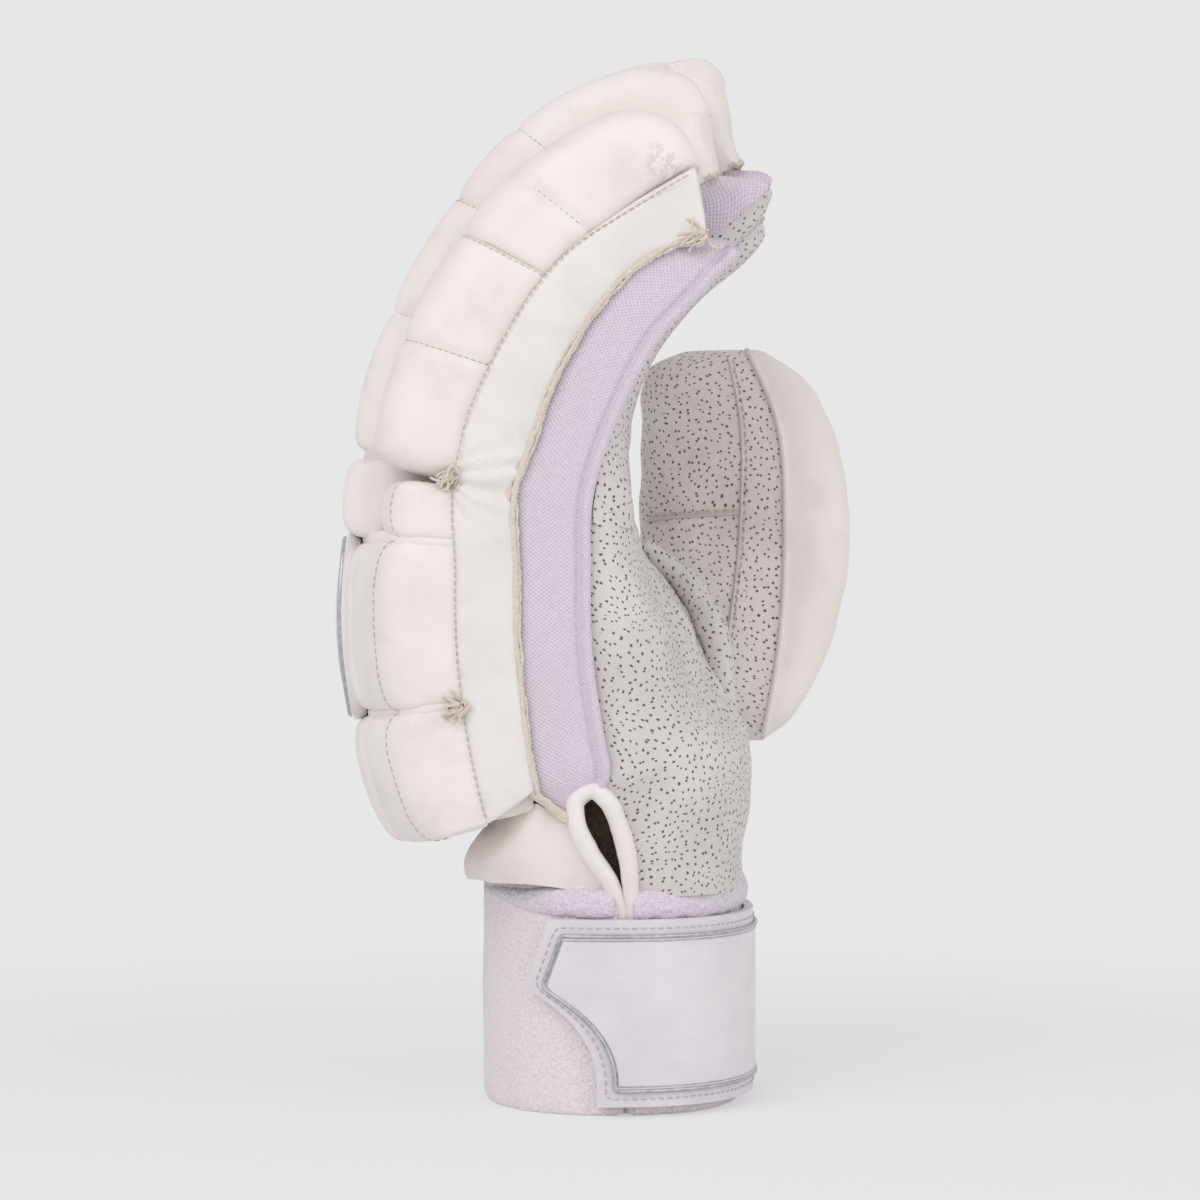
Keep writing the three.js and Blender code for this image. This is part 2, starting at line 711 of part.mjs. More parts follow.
// Rolled leather binding that goes up one edge of the slit, round its top and down the other.
function slitBinding() {
  const radius = bindingDiameter / 2;
  const legGap = radius + sewnGap;
  const slitEdge = (slitX + slitWidth / 2 - cuffCentreX) / cuffHalfDepth;
  const cuffFace = cuffHalfWidth * (1 - slitEdge ** cuffFullness) ** (1 / cuffFullness);
  const depth = radius + sewnGap - cuffFace;
  const top = onHand(-handLength - radius - 2 * sewnGap, 0, 0).z;
  const spread = slitTopWidth / 2 - radius;
  const lean = 9; // the slit leans towards the back of the hand as it rises
  const bulge = 4; // above the cuff it follows the wider wrist
  const route = [
    [legGap, 0, 0],
    [legGap, 0.5 * cuffHeight, 0],
    [legGap, cuffHeight, 0],
    [spread - 0.45 * lean, lerp(cuffHeight, top, 0.55), -bulge],
    [0.6 * spread - 0.9 * lean, lerp(cuffHeight, top, 0.92), -bulge],
    [-lean, top, -bulge],
    [-0.8 * spread - 0.95 * lean, lerp(cuffHeight, top, 0.9), -bulge],
    [-spread - 0.5 * lean, lerp(cuffHeight, top, 0.5), -bulge],
    [-legGap, cuffHeight, 0],
    [-legGap, 0.5 * cuffHeight, 0],
    [-legGap, 0, 0],
  ];
  const curve = new THREE.CatmullRomCurve3(
    route.map(([x, z, out]) => new THREE.Vector3(slitX + x, depth + out, z)),
  );
  const section = new THREE.Shape().absarc(0, 0, radius, 0, 2 * Math.PI);
  return new THREE.ExtrudeGeometry(section, { steps: 44, curveSegments: 4, extrudePath: curve });
}

function strapSolid(fromAngle, toAngle, inner, outer, low, high) {
  const steps = Math.max(2, Math.round(Math.abs(toAngle - fromAngle) / 8));
  return loft(
    Array.from({ length: steps + 1 }, (_, i) => {
      const turn = radians(lerp(fromAngle, toAngle, i / steps));
      const place = (out, z) => {
        const at = cuffPoint(turn, out);
        return new THREE.Vector3(at.x, at.y, z);
      };
      return { outline: rectangle(inner, outer, low, high), place };
    }),
  );
}

const strapInner = sewnGap;
const strapOuter = strapInner + strapThickness;
const strapSplit = 0.4; // degrees between the strap's sections

// What is cut off the strap's free end, seen from the little-finger side.
function tabCutter() {
  const far = -3 * cuffHalfDepth;
  const shape = new THREE.Shape();
  shape.moveTo(far, strapHigh + 1);
  shape.lineTo(tabCorner.x, strapHigh + 1);
  shape.lineTo(tabCorner.x, strapHigh);
  shape.lineTo(tabPoint.x, tabPoint.z);
  shape.quadraticCurveTo(tabWaist.x, lerp(tabPoint.z, tabWaist.z, 0.35), tabWaist.x, tabWaist.z);
  shape.lineTo(tabWaist.x, strapLow - 1);
  shape.lineTo(far, strapLow - 1);
  const outline = shape.getPoints(8);
  const slab = (y) => ({ outline, place: (x, z) => new THREE.Vector3(x, y, z) });
  return loft([slab(-2 * cuffHalfWidth), slab(0)]);
}

function strapPieces() {
  const hookInner = strapInner + 0.1;
  const hookRim = 5;
  const [hookFrom, hookTo] = [strapFoldAngle - 22, strapFoldAngle - 52];
  const pocket = strapSolid(
    hookFrom + 1,
    hookTo - 1,
    0,
    hookInner + hookThickness + sewnGap,
    strapLow + hookRim - sewnGap,
    strapHigh - hookRim + sewnGap,
  );
  const full = (from, to) => strapSolid(from, to, strapInner, strapOuter, strapLow, strapHigh);
  return {
    anchor: full(strapAnchorAngle, strapSewnAngle + strapSplit),
    band: full(strapSewnAngle, strapFoldAngle),
    tab: carve(full(strapFoldAngle - strapSplit, strapEndAngle), tabCutter(), pocket),
    hook: strapSolid(hookFrom, hookTo, hookInner, hookInner + hookThickness, strapLow + hookRim, strapHigh - hookRim),
  };
}

// Finishes
const finish = (color, roughness) => new THREE.MeshStandardMaterial({ color, roughness, metalness: 0 });
const whiteLeather = finish(0xefe9e6, 0.55);
const palmFinish = finish(0xd9d4d3, 0.75);
const knitFinish = finish(0xddd4e4, 0.9);
const terryFinish = finish(0xe6dde2, 0.95);
const foamFinish = finish(0xe9dfb8, 0.9);
const strapFinish = finish(0xe0dbe2, 0.45);
const badgeFinish = finish(0xe8e4e3, 0.4);
const hookFinish = finish(0xdedbe0, 0.8);

// Assembly: each moving group stands at its own pivot.

function pivotGroup(name, pivot, parent) {
  const group = new THREE.Group();
  group.name = name;
  group.userData.pivot = pivot;
  group.position.copy(pivot).sub(parent.userData.pivot);
  parent.add(group);
  return group;
}

// Adds a piece that was made in the hand's frame to a group that stands at its own pivot.
function addPiece(group, name, geometry, material) {
  const { x, y, z } = group.userData.pivot;
  const mesh = new THREE.Mesh(geometry.translate(-x, -y, -z), material);
  mesh.name = name;
  group.add(mesh);
}

const glove = new THREE.Group();
const hand = new THREE.Group();
hand.userData.pivot = new THREE.Vector3();
glove.add(hand);

for (const finger of fingers) {
  finger.y = finger.column * fingerPitch;
  finger.line = fingerLine(finger);
}

for (const finger of fingers) {
  const { name, line } = finger;
  const base = pivotGroup(`${name}_base`, lay(line, 0, finger.y, bendHeight), hand);
  const tip = pivotGroup(`${name}_tip`, lay(line, finger.baseLength, finger.y, bendHeight), base);
  for (const [part, group] of Object.entries({ base, tip })) {
    const roll = rollPieces(finger, line, part);
    const stall = stallPieces(finger, line, part);
    addPiece(group, `${name}_${part}_cover`, roll.cover, whiteLeather);
    addPiece(group, `${name}_${part}_foam`, roll.foam, foamFinish);
    addPiece(group, `${name}_${part}_knit`, stall.knit, knitFinish);
    addPiece(group, `${name}_${part}_leather`, stall.leather, palmFinish);
    if (name === "little")
      addPiece(group, `${name}_${part}_side_bar`, fingerSideBar(finger, line, part), whiteLeather);
  }
  addPiece(hand, `${name}_knuckle_bar`, knuckleBar(finger), whiteLeather);
}

addPiece(hand, "back_block_little", backBlock(-handHalf, -fingerPitch), whiteLeather);
addPiece(hand, "back_block_centre", backBlock(-fingerPitch, fingerPitch), whiteLeather);
addPiece(hand, "back_block_index", backBlock(fingerPitch, handHalf), whiteLeather);
addPiece(hand, "wrist_block", wristBlock(), whiteLeather);
addPiece(hand, "badge_plate", badgePlate(), badgeFinish);
addPiece(hand, "back_foam_underlay", foamUnderlay(), foamFinish);
addPiece(hand, "hand_side_bar_little", handSideBar(-1), whiteLeather);
addPiece(hand, "hand_side_bar_index", handSideBar(1), whiteLeather);
addPiece(hand, "ulnar_gusset", gusset(-1), knitFinish);
addPiece(hand, "radial_gusset", gusset(1), knitFinish);
addPiece(hand, "palm_leather", palmLeather(), palmFinish);
addPiece(hand, "thumb_web", thumbWeb(), palmFinish);
addPiece(hand, "wrist_back", wristBack(), whiteLeather);
addPiece(hand, "slit_binding", slitBinding(), whiteLeather);
addPiece(hand, "cuff_band", cuffBand(), terryFinish);

const thumb = pivotGroup("thumb", new THREE.Vector3(thumbPivot.x, thumbOffset, thumbPivot.z), hand);
const thumbParts = thumbPieces();
for (const [name, material] of Object.entries({ stall: palmFinish, cover: whiteLeather, foam: foamFinish })) {
  const mesh = new THREE.Mesh(thumbParts[name], material);
  mesh.name = `thumb_${name}`;
  thumb.add(mesh);
}
thumb.rotation.x = -radians(thumbTilt);

const strap = strapPieces();
const strapPivot = (angle) => {
  const at = cuffPoint(radians(angle), strapOuter);
  return new THREE.Vector3(at.x, at.y, 0);
};
addPiece(hand, "strap_anchor", strap.anchor, strapFinish);
const strapBand = pivotGroup("strap_band", strapPivot(strapSewnAngle), hand);
const strapTab = pivotGroup("strap_tab", strapPivot(strapFoldAngle), strapBand);
addPiece(strapBand, "strap_band", strap.band, strapFinish);
addPiece(strapTab, "strap_tab", strap.tab, strapFinish);
addPiece(strapTab, "hook_patch", strap.hook, hookFinish);

// The origin is under the middle of the glove's box, on the surface it stands on.
const extent = new THREE.Box3().setFromObject(glove, true);
const middle = extent.getCenter(new THREE.Vector3());
hand.position.set(-middle.x, -middle.y, -extent.min.z);

export default glove;
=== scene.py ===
# The soft pieces, finishes, light and camera of a padded batting glove, over its CAD frame.
import itertools
import math
import bmesh
import bpy
import numpy as np
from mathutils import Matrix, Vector


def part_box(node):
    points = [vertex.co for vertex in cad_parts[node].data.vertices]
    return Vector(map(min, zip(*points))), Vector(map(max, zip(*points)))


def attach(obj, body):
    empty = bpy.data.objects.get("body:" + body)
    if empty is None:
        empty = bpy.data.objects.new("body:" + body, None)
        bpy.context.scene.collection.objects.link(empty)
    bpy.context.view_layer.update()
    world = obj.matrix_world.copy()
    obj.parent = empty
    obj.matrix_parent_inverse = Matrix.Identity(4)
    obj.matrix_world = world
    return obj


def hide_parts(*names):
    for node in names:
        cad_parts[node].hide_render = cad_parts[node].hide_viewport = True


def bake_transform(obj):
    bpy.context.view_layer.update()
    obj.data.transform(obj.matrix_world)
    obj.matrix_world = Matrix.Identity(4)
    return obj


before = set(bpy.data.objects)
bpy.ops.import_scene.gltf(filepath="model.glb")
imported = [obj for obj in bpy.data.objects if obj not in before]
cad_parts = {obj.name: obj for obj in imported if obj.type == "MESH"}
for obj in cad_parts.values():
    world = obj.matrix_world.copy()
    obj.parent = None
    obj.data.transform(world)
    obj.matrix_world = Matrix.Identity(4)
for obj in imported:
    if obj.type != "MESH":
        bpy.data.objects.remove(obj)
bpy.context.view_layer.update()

scene = bpy.context.scene

# Layout of the glove in millimetres, in the hand's frame, where the middle of the hand is y = 0
MM = 0.001
BEND_HEIGHT = 9.0
BEND_REACH = 9.0
STALL_DEPTH = 19.4
BAR_DEPTH = 32.6
SEWN_GAP = 0.3
FINGER_PITCH = 25.0
FINGER_HALF = 12.15
HAND_HALF = 49.65
HAND_LENGTH = 75.0
WRIST_CREASE = (-8.4, 78.0)
WRIST_LEAN = -15.0
KNUCKLE_LEAN = 8.0
MIDDLE_LEAN = 28.0
ARCH_HEIGHT = 6.0
ARCH_HALF = 55.0
KNUCKLE_RISE = 7.0
KNUCKLE_PEAK = 10.0
KNUCKLE_HALF = 52.5
TIP_LEAN = 64.0
KNUCKLE_BAR_LENGTH = 14.6
BACK_BLOCK_LENGTH = 34.5
ROLL_TIP_TOP = 38.0
ROLL_TAPER = 2.3
CUFF_CENTRE_X = -2.0
CUFF_HALF_DEPTH = 33.0
CUFF_HALF_WIDTH = 45.0
CUFF_FULLNESS = 2.3
CUFF_HEIGHT = 53.0
CUFF_BACK_RISE = 4.4
CUFF_WALL = 4.6
SLIT_X = 1.0
SLIT_WIDTH = 10.0
STRAP_LOW = 2.6
STRAP_HIGH = 48.0
THUMB_PIVOT = (18.0, 103.0)
THUMB_TILT = 6.0
THUMB_HALF = 14.0
THUMB_OFFSET = HAND_HALF + SEWN_GAP + THUMB_HALF - 1.5
FINGERS = {
    "little": {"y": -37.5, "base": 44.0, "tip": 38.0, "top": 54.0, "set_back": 0.0},
    "ring": {"y": -12.5, "base": 50.0, "tip": 49.0, "top": 58.5, "set_back": 4.0},
    "middle": {"y": 12.5, "base": 52.0, "tip": 51.0, "top": 58.5, "set_back": 3.0},
    "index": {"y": 37.5, "base": 49.0, "tip": 48.0, "top": 56.0, "set_back": 3.0},
}

# Thickness of the sheets
KNIT_THICKNESS = 1.2
FINGER_THICKNESS = 1.3
HAND_THICKNESS = 1.5

# Stitches, as (pitch, length, radius of the thread)
ROLL_STITCH = (1.7, 1.25, 0.17)
BLOCK_STITCH = (2.0, 1.4, 0.2)
BAR_STITCH = (1.9, 1.5, 0.2)
STRAP_STITCH = (2.2, 1.4, 0.24)
THUMB_STITCH = (2.4, 1.6, 0.2)

# From the hand's frame to the frame of the model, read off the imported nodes
cuff_low, cuff_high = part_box("cuff_band")
column_low, column_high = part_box("ring_base_knit")[0].y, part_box("middle_base_knit")[1].y
SHIFT = np.array([
    (cuff_low.x + cuff_high.x) / 2 / MM - CUFF_CENTRE_X,
    (column_low + column_high) / 2 / MM,
    0.0,
])


# Curves and noise

def smooth(low, high, x):
    t = np.clip((np.asarray(x, float) - low) / (high - low), 0, 1)
    return t * t * (3 - 2 * t)


def mix(a, b, t):
    return a + (b - a) * t


def signed_power(value, power):
    return np.sign(value) * np.abs(value) ** power


def curve_through(rows):
    xs, ys = np.array(rows, float).T
    slopes = np.gradient(ys, xs)

    def at(x):
        x = np.clip(np.asarray(x, float), xs[0], xs[-1])
        i = np.clip(np.searchsorted(xs, x, side="right") - 1, 0, len(xs) - 2)
        width = xs[i + 1] - xs[i]
        t = (x - xs[i]) / width
        near = (2 * t**3 - 3 * t**2 + 1) * ys[i] + (t**3 - 2 * t**2 + t) * width * slopes[i]
        far = (3 * t**2 - 2 * t**3) * ys[i + 1] + (t**3 - t**2) * width * slopes[i + 1]
        return near + far

    return at


def lattice_value(ix, iy, iz, seed):
    n = (ix * 374761393 + iy * 668265263 + iz * 2147483629 + seed * 1274126177) & 0xFFFFFFFF
    n = ((n ^ (n >> 13)) * 1274126177) & 0xFFFFFFFF
    return ((n ^ (n >> 16)) & 0xFFFF) / 32767.5 - 1


def lumps(points, seed, size=1.0):
    """Smooth noise from -1 to 1 whose lumps are about size across."""
    place = np.asarray(points, float) / size
    corner = np.floor(place).astype(np.int64)
    t = place - corner
    t = t * t * (3 - 2 * t)
    total = 0.0
    for step in itertools.product((0, 1), repeat=3):
        weight = np.prod(np.where(step, t, 1 - t), -1)
        total = total + weight * lattice_value(*np.moveaxis(corner + step, -1, 0), seed)
    return total


def points_at(*axes):
    """Points whose coordinates are spread out against each other."""
    return np.stack(np.broadcast_arrays(*axes), -1)


def circle(count):
    return np.linspace(0, 2 * np.pi, count, endpoint=False)


def bell(x, width):
    return np.exp(-((x / width) ** 2))


def squared_off(turn, fullness):
    """Cosine and sine of a turn, on a circle squared off by a fullness above 2."""
    return signed_power(np.cos(turn), 2 / fullness), signed_power(np.sin(turn), 2 / fullness)


# Lines that the glove is laid out along

def arc_line(start, lean, end_lean, length):
    first, last = math.radians(lean), math.radians(end_lean)
    turn = (last - first) / length

    def at(s):
        inside = np.clip(s, 0, length)
        angle = first + turn * inside
        x = start[0] + (math.cos(first) - np.cos(angle)) / turn + (s - inside) * np.sin(angle)
        z = start[1] + (np.sin(angle) - math.sin(first)) / turn + (s - inside) * np.cos(angle)
        return x, z, angle

    return at


def lay(line, s, y, v):
    """Points s along a line, at y across the hand and v above its palm side."""
    x, z, angle = line(np.asarray(s, float))
    up = v - BEND_HEIGHT
    return points_at(x - up * np.cos(angle), y, z + up * np.sin(angle))


def arch(y):
    return ARCH_HEIGHT * (1 - (np.asarray(y) / ARCH_HALF) ** 2)


def rise(y):
    return KNUCKLE_RISE * (1 - ((np.asarray(y) - KNUCKLE_PEAK) / KNUCKLE_HALF) ** 2)


hand_line = arc_line(WRIST_CREASE, WRIST_LEAN, KNUCKLE_LEAN, HAND_LENGTH)


def on_hand(s, y, v):
    return lay(hand_line, np.asarray(s) + HAND_LENGTH, y, v + arch(y))


for finger in FINGERS.values():
    knuckle = on_hand(rise(finger["y"]), finger["y"], BEND_HEIGHT)
    finger["base_line"] = arc_line((knuckle[0], knuckle[2]), KNUCKLE_LEAN, MIDDLE_LEAN, finger["base"])
    x, z, _ = finger["base_line"](finger["base"])
    finger["tip_line"] = arc_line((x, z), MIDDLE_LEAN, TIP_LEAN, finger["tip"])
    finger["length"] = finger["base"] + finger["tip"]
little, index = FINGERS["little"], FINGERS["index"]
bar_start, index_start = (-HAND_LENGTH - rise(finger["y"]) for finger in (little, index))


def on_finger(finger, s, y, v):
    """Like on_hand, with s counted from the finger's knuckle and carried on over the hand below it."""
    s, y, v = np.broadcast_arrays(np.asarray(s, float), y, v)
    settled = mix(arch(y), arch(finger["y"]), smooth(-25, 0, s))
    low = lay(hand_line, s + rise(finger["y"]) + HAND_LENGTH, y, v + settled)
    base = lay(finger["base_line"], s, y, v)
    tip = lay(finger["tip_line"], s - finger["base"], y, v)
    s = s[..., None]
    return np.where(s < 0, low, np.where(s < finger["base"], base, tip))


def cuff_point(degrees, out, z):
    x, y = squared_off(np.radians(degrees), CUFF_FULLNESS)
    return points_at(CUFF_CENTRE_X + (CUFF_HALF_DEPTH + out) * x, (CUFF_HALF_WIDTH + out) * y, z)


# Meshes: each part is (points, faces, the UVs of each face's corners in metres)

def path_length(points, axis):
    steps = np.linalg.norm(np.diff(points, axis=axis), axis=-1)
    zero = np.zeros_like(np.take(steps, [0], axis=axis))
    return np.concatenate([zero, np.cumsum(steps, axis=axis)], axis=axis)


def loft_part(rings, caps=(True, True)):
    """A closed skin over rings of points, shape (rings, points, 3)."""
    rings = np.asarray(rings, float)
    count, around = rings.shape[:2]
    along = path_length(rings, 0).mean(1)
    across = path_length(np.concatenate([rings, rings[:, :1]], 1), 1)
    near = 2 * around // 3
    across = across - across[:, near : near + 1]
    points = list(rings.reshape(-1, 3))
    faces, uvs = [], []
    for r in range(count - 1):
        for c in range(around):
            corners = ((r, c), (r, c + 1), (r + 1, c + 1), (r + 1, c))
            faces.append(tuple(i * around + j % around for i, j in corners))
            uvs.append([(across[i, j] * MM, along[i] * MM) for i, j in corners])
    for cap, row in zip(caps, (0, count - 1)):
        if not cap:
            continue
        centre = len(points)
        middle = rings[row].mean(0)
        points.append(middle)
        first = rings[row, 0] - middle
        first = first / max(np.linalg.norm(first), 1e-9)
        second = rings[row, around // 4] - middle
        second = second - first * second.dot(first)
        second = second / max(np.linalg.norm(second), 1e-9)
        flat = np.stack([(rings[row] - middle) @ first, (rings[row] - middle) @ second], -1) * MM
        for c in range(around):
            faces.append((row * around + c, row * around + (c + 1) % around, centre))
            uvs.append([tuple(flat[c]), tuple(flat[(c + 1) % around]), (0.0, 0.0)])
    return np.array(points), faces, uvs


def sheet_normals(grid):
    normals = np.cross(np.gradient(grid, axis=0), np.gradient(grid, axis=1))
    return normals / np.maximum(np.linalg.norm(normals, axis=-1, keepdims=True), 1e-9)


def sheet_part(grid, thickness):
    """A sheet whose face is the grid, shape (rows, columns, 3); a negative thickness turns it over."""
    grid = np.asarray(grid, float)
    rows, cols = grid.shape[:2]
    back = grid - sheet_normals(grid) * thickness
    along = path_length(grid, 0).mean(1)
    across = path_length(grid, 1)
    across = across - across[:, cols // 2 : cols // 2 + 1]
    points = np.concatenate([grid.reshape(-1, 3), back.reshape(-1, 3)])
    faces, uvs = [], []

    def add(*corners):
        faces.append(tuple(side * rows * cols + r * cols + c for side, r, c in corners))
        uvs.append([(across[r, c] * MM, along[r] * MM) for _, r, c in corners])

    for r in range(rows - 1):
        for c in range(cols - 1):
            add((0, r, c), (0, r, c + 1), (0, r + 1, c + 1), (0, r + 1, c))
            add((1, r + 1, c), (1, r + 1, c + 1), (1, r, c + 1), (1, r, c))
        for c in (0, cols - 1):
            add((0, r, c), (0, r + 1, c), (1, r + 1, c), (1, r, c))
    for r in (0, rows - 1):
        for c in range(cols - 1):
            add((0, r, c), (0, r, c + 1), (1, r, c + 1), (1, r, c))
    return points, faces, uvs


def path_frames(path, closed=False):
    """Unit tangents and two crossing directions that turn as little as they can along the path."""
    if closed:
        tangents = np.roll(path, -1, 0) - np.roll(path, 1, 0)
    else:
        tangents = np.gradient(path, axis=0)
    tangents = tangents / np.linalg.norm(tangents, axis=1, keepdims=True)
    side = np.cross(tangents[0], (0.31, 0.87, 0.38))
    sides = []
    for tangent in tangents:
        side = side - tangent * side.dot(tangent)
        side = side / np.linalg.norm(side)
        sides.append(side)
    sides = np.array(sides)
    return tangents, sides, np.cross(tangents, sides)


def tube_part(path, radius, sides=10, closed=False):
    path = np.asarray(path, float)
    _, first, second = path_frames(path, closed)
    turn = circle(sides)
    radius = np.broadcast_to(np.asarray(radius, float), len(path))[:, None, None]
    rings = path[:, None] + radius * (
        np.cos(turn)[None, :, None] * first[:, None] + np.sin(turn)[None, :, None] * second[:, None]
    )
    if closed:
        rings = np.concatenate([rings, rings[:1]])
    return loft_part(rings, (not closed, not closed))


def resample(path, step):
    path = np.asarray(path, float)
    length = path_length(path, 0)
    count = max(2, int(round(length[-1] / step)) + 1)
    places = np.linspace(0, length[-1], count)
    return np.stack([np.interp(places, length, path[:, i]) for i in range(3)], -1)


def curve_path(places, count):
    """A smooth path through places, as points spread evenly along it."""
    places = np.array(places, float)
    marks = path_length(places, 0)
    fine = np.linspace(0, marks[-1], count)
    return np.stack([curve_through(np.stack([marks, column], -1))(fine) for column in places.T], -1)


def stitch_parts(paths, pitch, length, radius):
    """Short threads along paths, one part each."""
    parts = []
    for path in paths:
        line = resample(path, pitch)
        for a, b in zip(line[:-1], line[1:]):
            middle, half = (a + b) / 2, (b - a) * (0.5 * length / pitch)
            run = np.array([middle + half * t for t in (-1, -0.7, 0, 0.7, 1)])
            parts.append(tube_part(run, radius * np.array([0.35, 0.85, 1, 0.85, 0.35]), 6))
    return parts


SHARP_ANGLE = math.radians(69)


def build(name, parts, material):
    points, faces, uvs = [], [], []
    start = 0
    for part_points, part_faces, part_uvs in parts:
        points.append(part_points)
        faces.extend(tuple(i + start for i in face) for face in part_faces)
        uvs.extend(part_uvs)
        start += len(part_points)
    mesh = bpy.data.meshes.new(name)
    mesh.from_pydata(((np.concatenate(points) + SHIFT) * MM).tolist(), [], faces)
    layer = mesh.uv_layers.new(name="UVMap")
    layer.data.foreach_set("uv", [value for face in uvs for corner in face for value in corner])
    work = bmesh.new()
    work.from_mesh(mesh)
    bmesh.ops.recalc_face_normals(work, faces=work.faces)
    for edge in work.edges:
        edge.smooth = edge.calc_face_angle(0.0) < SHARP_ANGLE
    work.to_mesh(mesh)
    work.free()
    mesh.polygons.foreach_set("use_smooth", [True] * len(mesh.polygons))
    mesh.materials.append(material)
    piece = bpy.data.objects.new(name, mesh)
    scene.collection.objects.link(piece)
    return piece


def in_model(place):
    return tuple((np.asarray(place, float).reshape(3) + SHIFT) * MM)


def between(piece, first, second, start, end):
    """Bakes a piece's transform into its mesh; its two bodies and two places in the hand's frame are not
    used.
    """
    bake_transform(piece)


def sheet_piece(name, grid, thickness, material):
    """A sheet over a grid; the grid's flat size is worked out but not used."""
    piece = build(name, [sheet_part(grid, thickness)], material)
    grid = np.asarray(grid, float) * MM
    length = path_length(grid, 0)[-1].mean()
    width = path_length(grid, 1)[:, -1].mean()
    cells = np.cross(np.diff(grid, axis=0)[:, :-1], np.diff(grid, axis=1)[:-1])
    area = float(np.linalg.norm(cells, axis=-1).sum())
    width = max(width, area / length)
    return piece


def padded_piece(name, body, part, material, fill, slot, *nodes):
    """A padded piece that rides on a body and stands for the nodes named."""
    piece = build(name, [part], material)
    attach(piece, body)
    if nodes:
        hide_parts(*nodes)


def bend_finger(piece, name, part, y):
    """Passes a piece to between, with places at y either side of the joint where the base or tip part of a
    finger begins.
    """
    finger = FINGERS[name]
    lower, joint = ("hand", 0.0) if part == "base" else (f"{name}_base", finger["base"])
    ends = (on_finger(finger, joint + reach, y, BEND_HEIGHT) for reach in (-BEND_REACH, BEND_REACH))
    between(piece, lower, f"{name}_{part}", *ends)


# Materials

def linear(code):
    values = [int(code[i : i + 2], 16) / 255 for i in (0, 2, 4)]
    return tuple(v / 12.92 if v <= 0.04045 else ((v + 0.055) / 1.055) ** 2.4 for v in values) + (1.0,)


class Wiring:
    """A node tree with a few helpers to wire it; a colour may be given by its hex code."""

    def __init__(self, tree):
        self.tree = tree

    def node(self, kind, inputs=None, **settings):
        node = self.tree.nodes.new(kind)
        for key, value in settings.items():
            setattr(node, key, value)
        for key, value in (inputs or {}).items():
            self.put(node.inputs[key], value)
        return node

    def put(self, socket, value):
        if isinstance(value, bpy.types.NodeSocket):
            self.tree.links.new(value, socket)
        else:
            socket.default_value = linear(value) if isinstance(value, str) else value

    def math(self, operation, a, b=0.0):
        return self.node("ShaderNodeMath", {0: a, 1: b}, operation=operation).outputs[0]

    def plus(self, a, b):
        return self.math("ADD", a, b)

    def minus(self, a, b):
        return self.math("SUBTRACT", a, b)

    def times(self, a, b):
        return self.math("MULTIPLY", a, b)

    def ranged(self, value, low, high, to_low=0.0, to_high=1.0):
        inputs = {"Value": value, "From Min": low, "From Max": high, "To Min": to_low, "To Max": to_high}
        return self.node("ShaderNodeMapRange", inputs, interpolation_type="SMOOTHSTEP").outputs[0]

    def seen(self):
        """1 for rays that show a surface or the world itself, 0 for those that carry its light."""
        rays = self.node("ShaderNodeLightPath").outputs
        direct = self.math("MAXIMUM", rays["Is Camera Ray"], rays["Is Glossy Ray"])
        return self.math("MAXIMUM", direct, rays["Is Transmission Ray"])


class Finish(Wiring):
    """A material with a Principled shader."""

    def __init__(self, name, roughness, sheen=0.0, metallic=0.0):
        self.material = bpy.data.materials.new(name)
        self.material.use_nodes = True
        super().__init__(self.material.node_tree)
        self.shader = self.tree.nodes["Principled BSDF"]
        self.set("Roughness", roughness)
        self.set("Metallic", metallic)
        self.set("Sheen Weight", sheen)
        coordinates = self.node("ShaderNodeTexCoord").outputs
        self.object, self.uv = coordinates["Object"], coordinates["UV"]

    def set(self, key, value):
        self.put(self.shader.inputs[key], value)

    def vector(self, operation, a, b=(0, 0, 0)):
        node = self.node("ShaderNodeVectorMath", {0: a, 1: b}, operation=operation)
        return node.outputs["Value" if operation == "LENGTH" else "Vector"]

    def scaled(self, vector, scale, rotation=0.0):
        inputs = {"Vector": vector, "Scale": scale, "Rotation": (0, 0, rotation)}
        return self.node("ShaderNodeMapping", inputs).outputs[0]

    def noise(self, scale, detail=4.0, roughness=0.55, vector=None):
        vector = self.object if vector is None else vector
        inputs = {"Vector": vector, "Scale": scale, "Detail": detail, "Roughness": roughness}
        return self.node("ShaderNodeTexNoise", inputs).outputs["Fac"]

    def cells(self, scale):
        return self.node("ShaderNodeTexVoronoi", {"Vector": self.object, "Scale": scale}).outputs["Distance"]

    def blend(self, factor, first, second):
        node = self.node("ShaderNodeMix", data_type="RGBA")
        for key, value in (("Factor", factor), (6, first), (7, second)):
            self.put(node.inputs[key], value)
        return node.outputs[2]

    def bump(self, *layers):
        """Layers of (height, strength, distance in metres), laid over each other."""
        normal = None
        for height, strength, distance in layers:
            inputs = {"Height": height, "Strength": strength, "Distance": distance}
            if normal is not None:
                inputs["Normal"] = normal
            normal = self.node("ShaderNodeBump", inputs).outputs[0]
        self.set("Normal", normal)


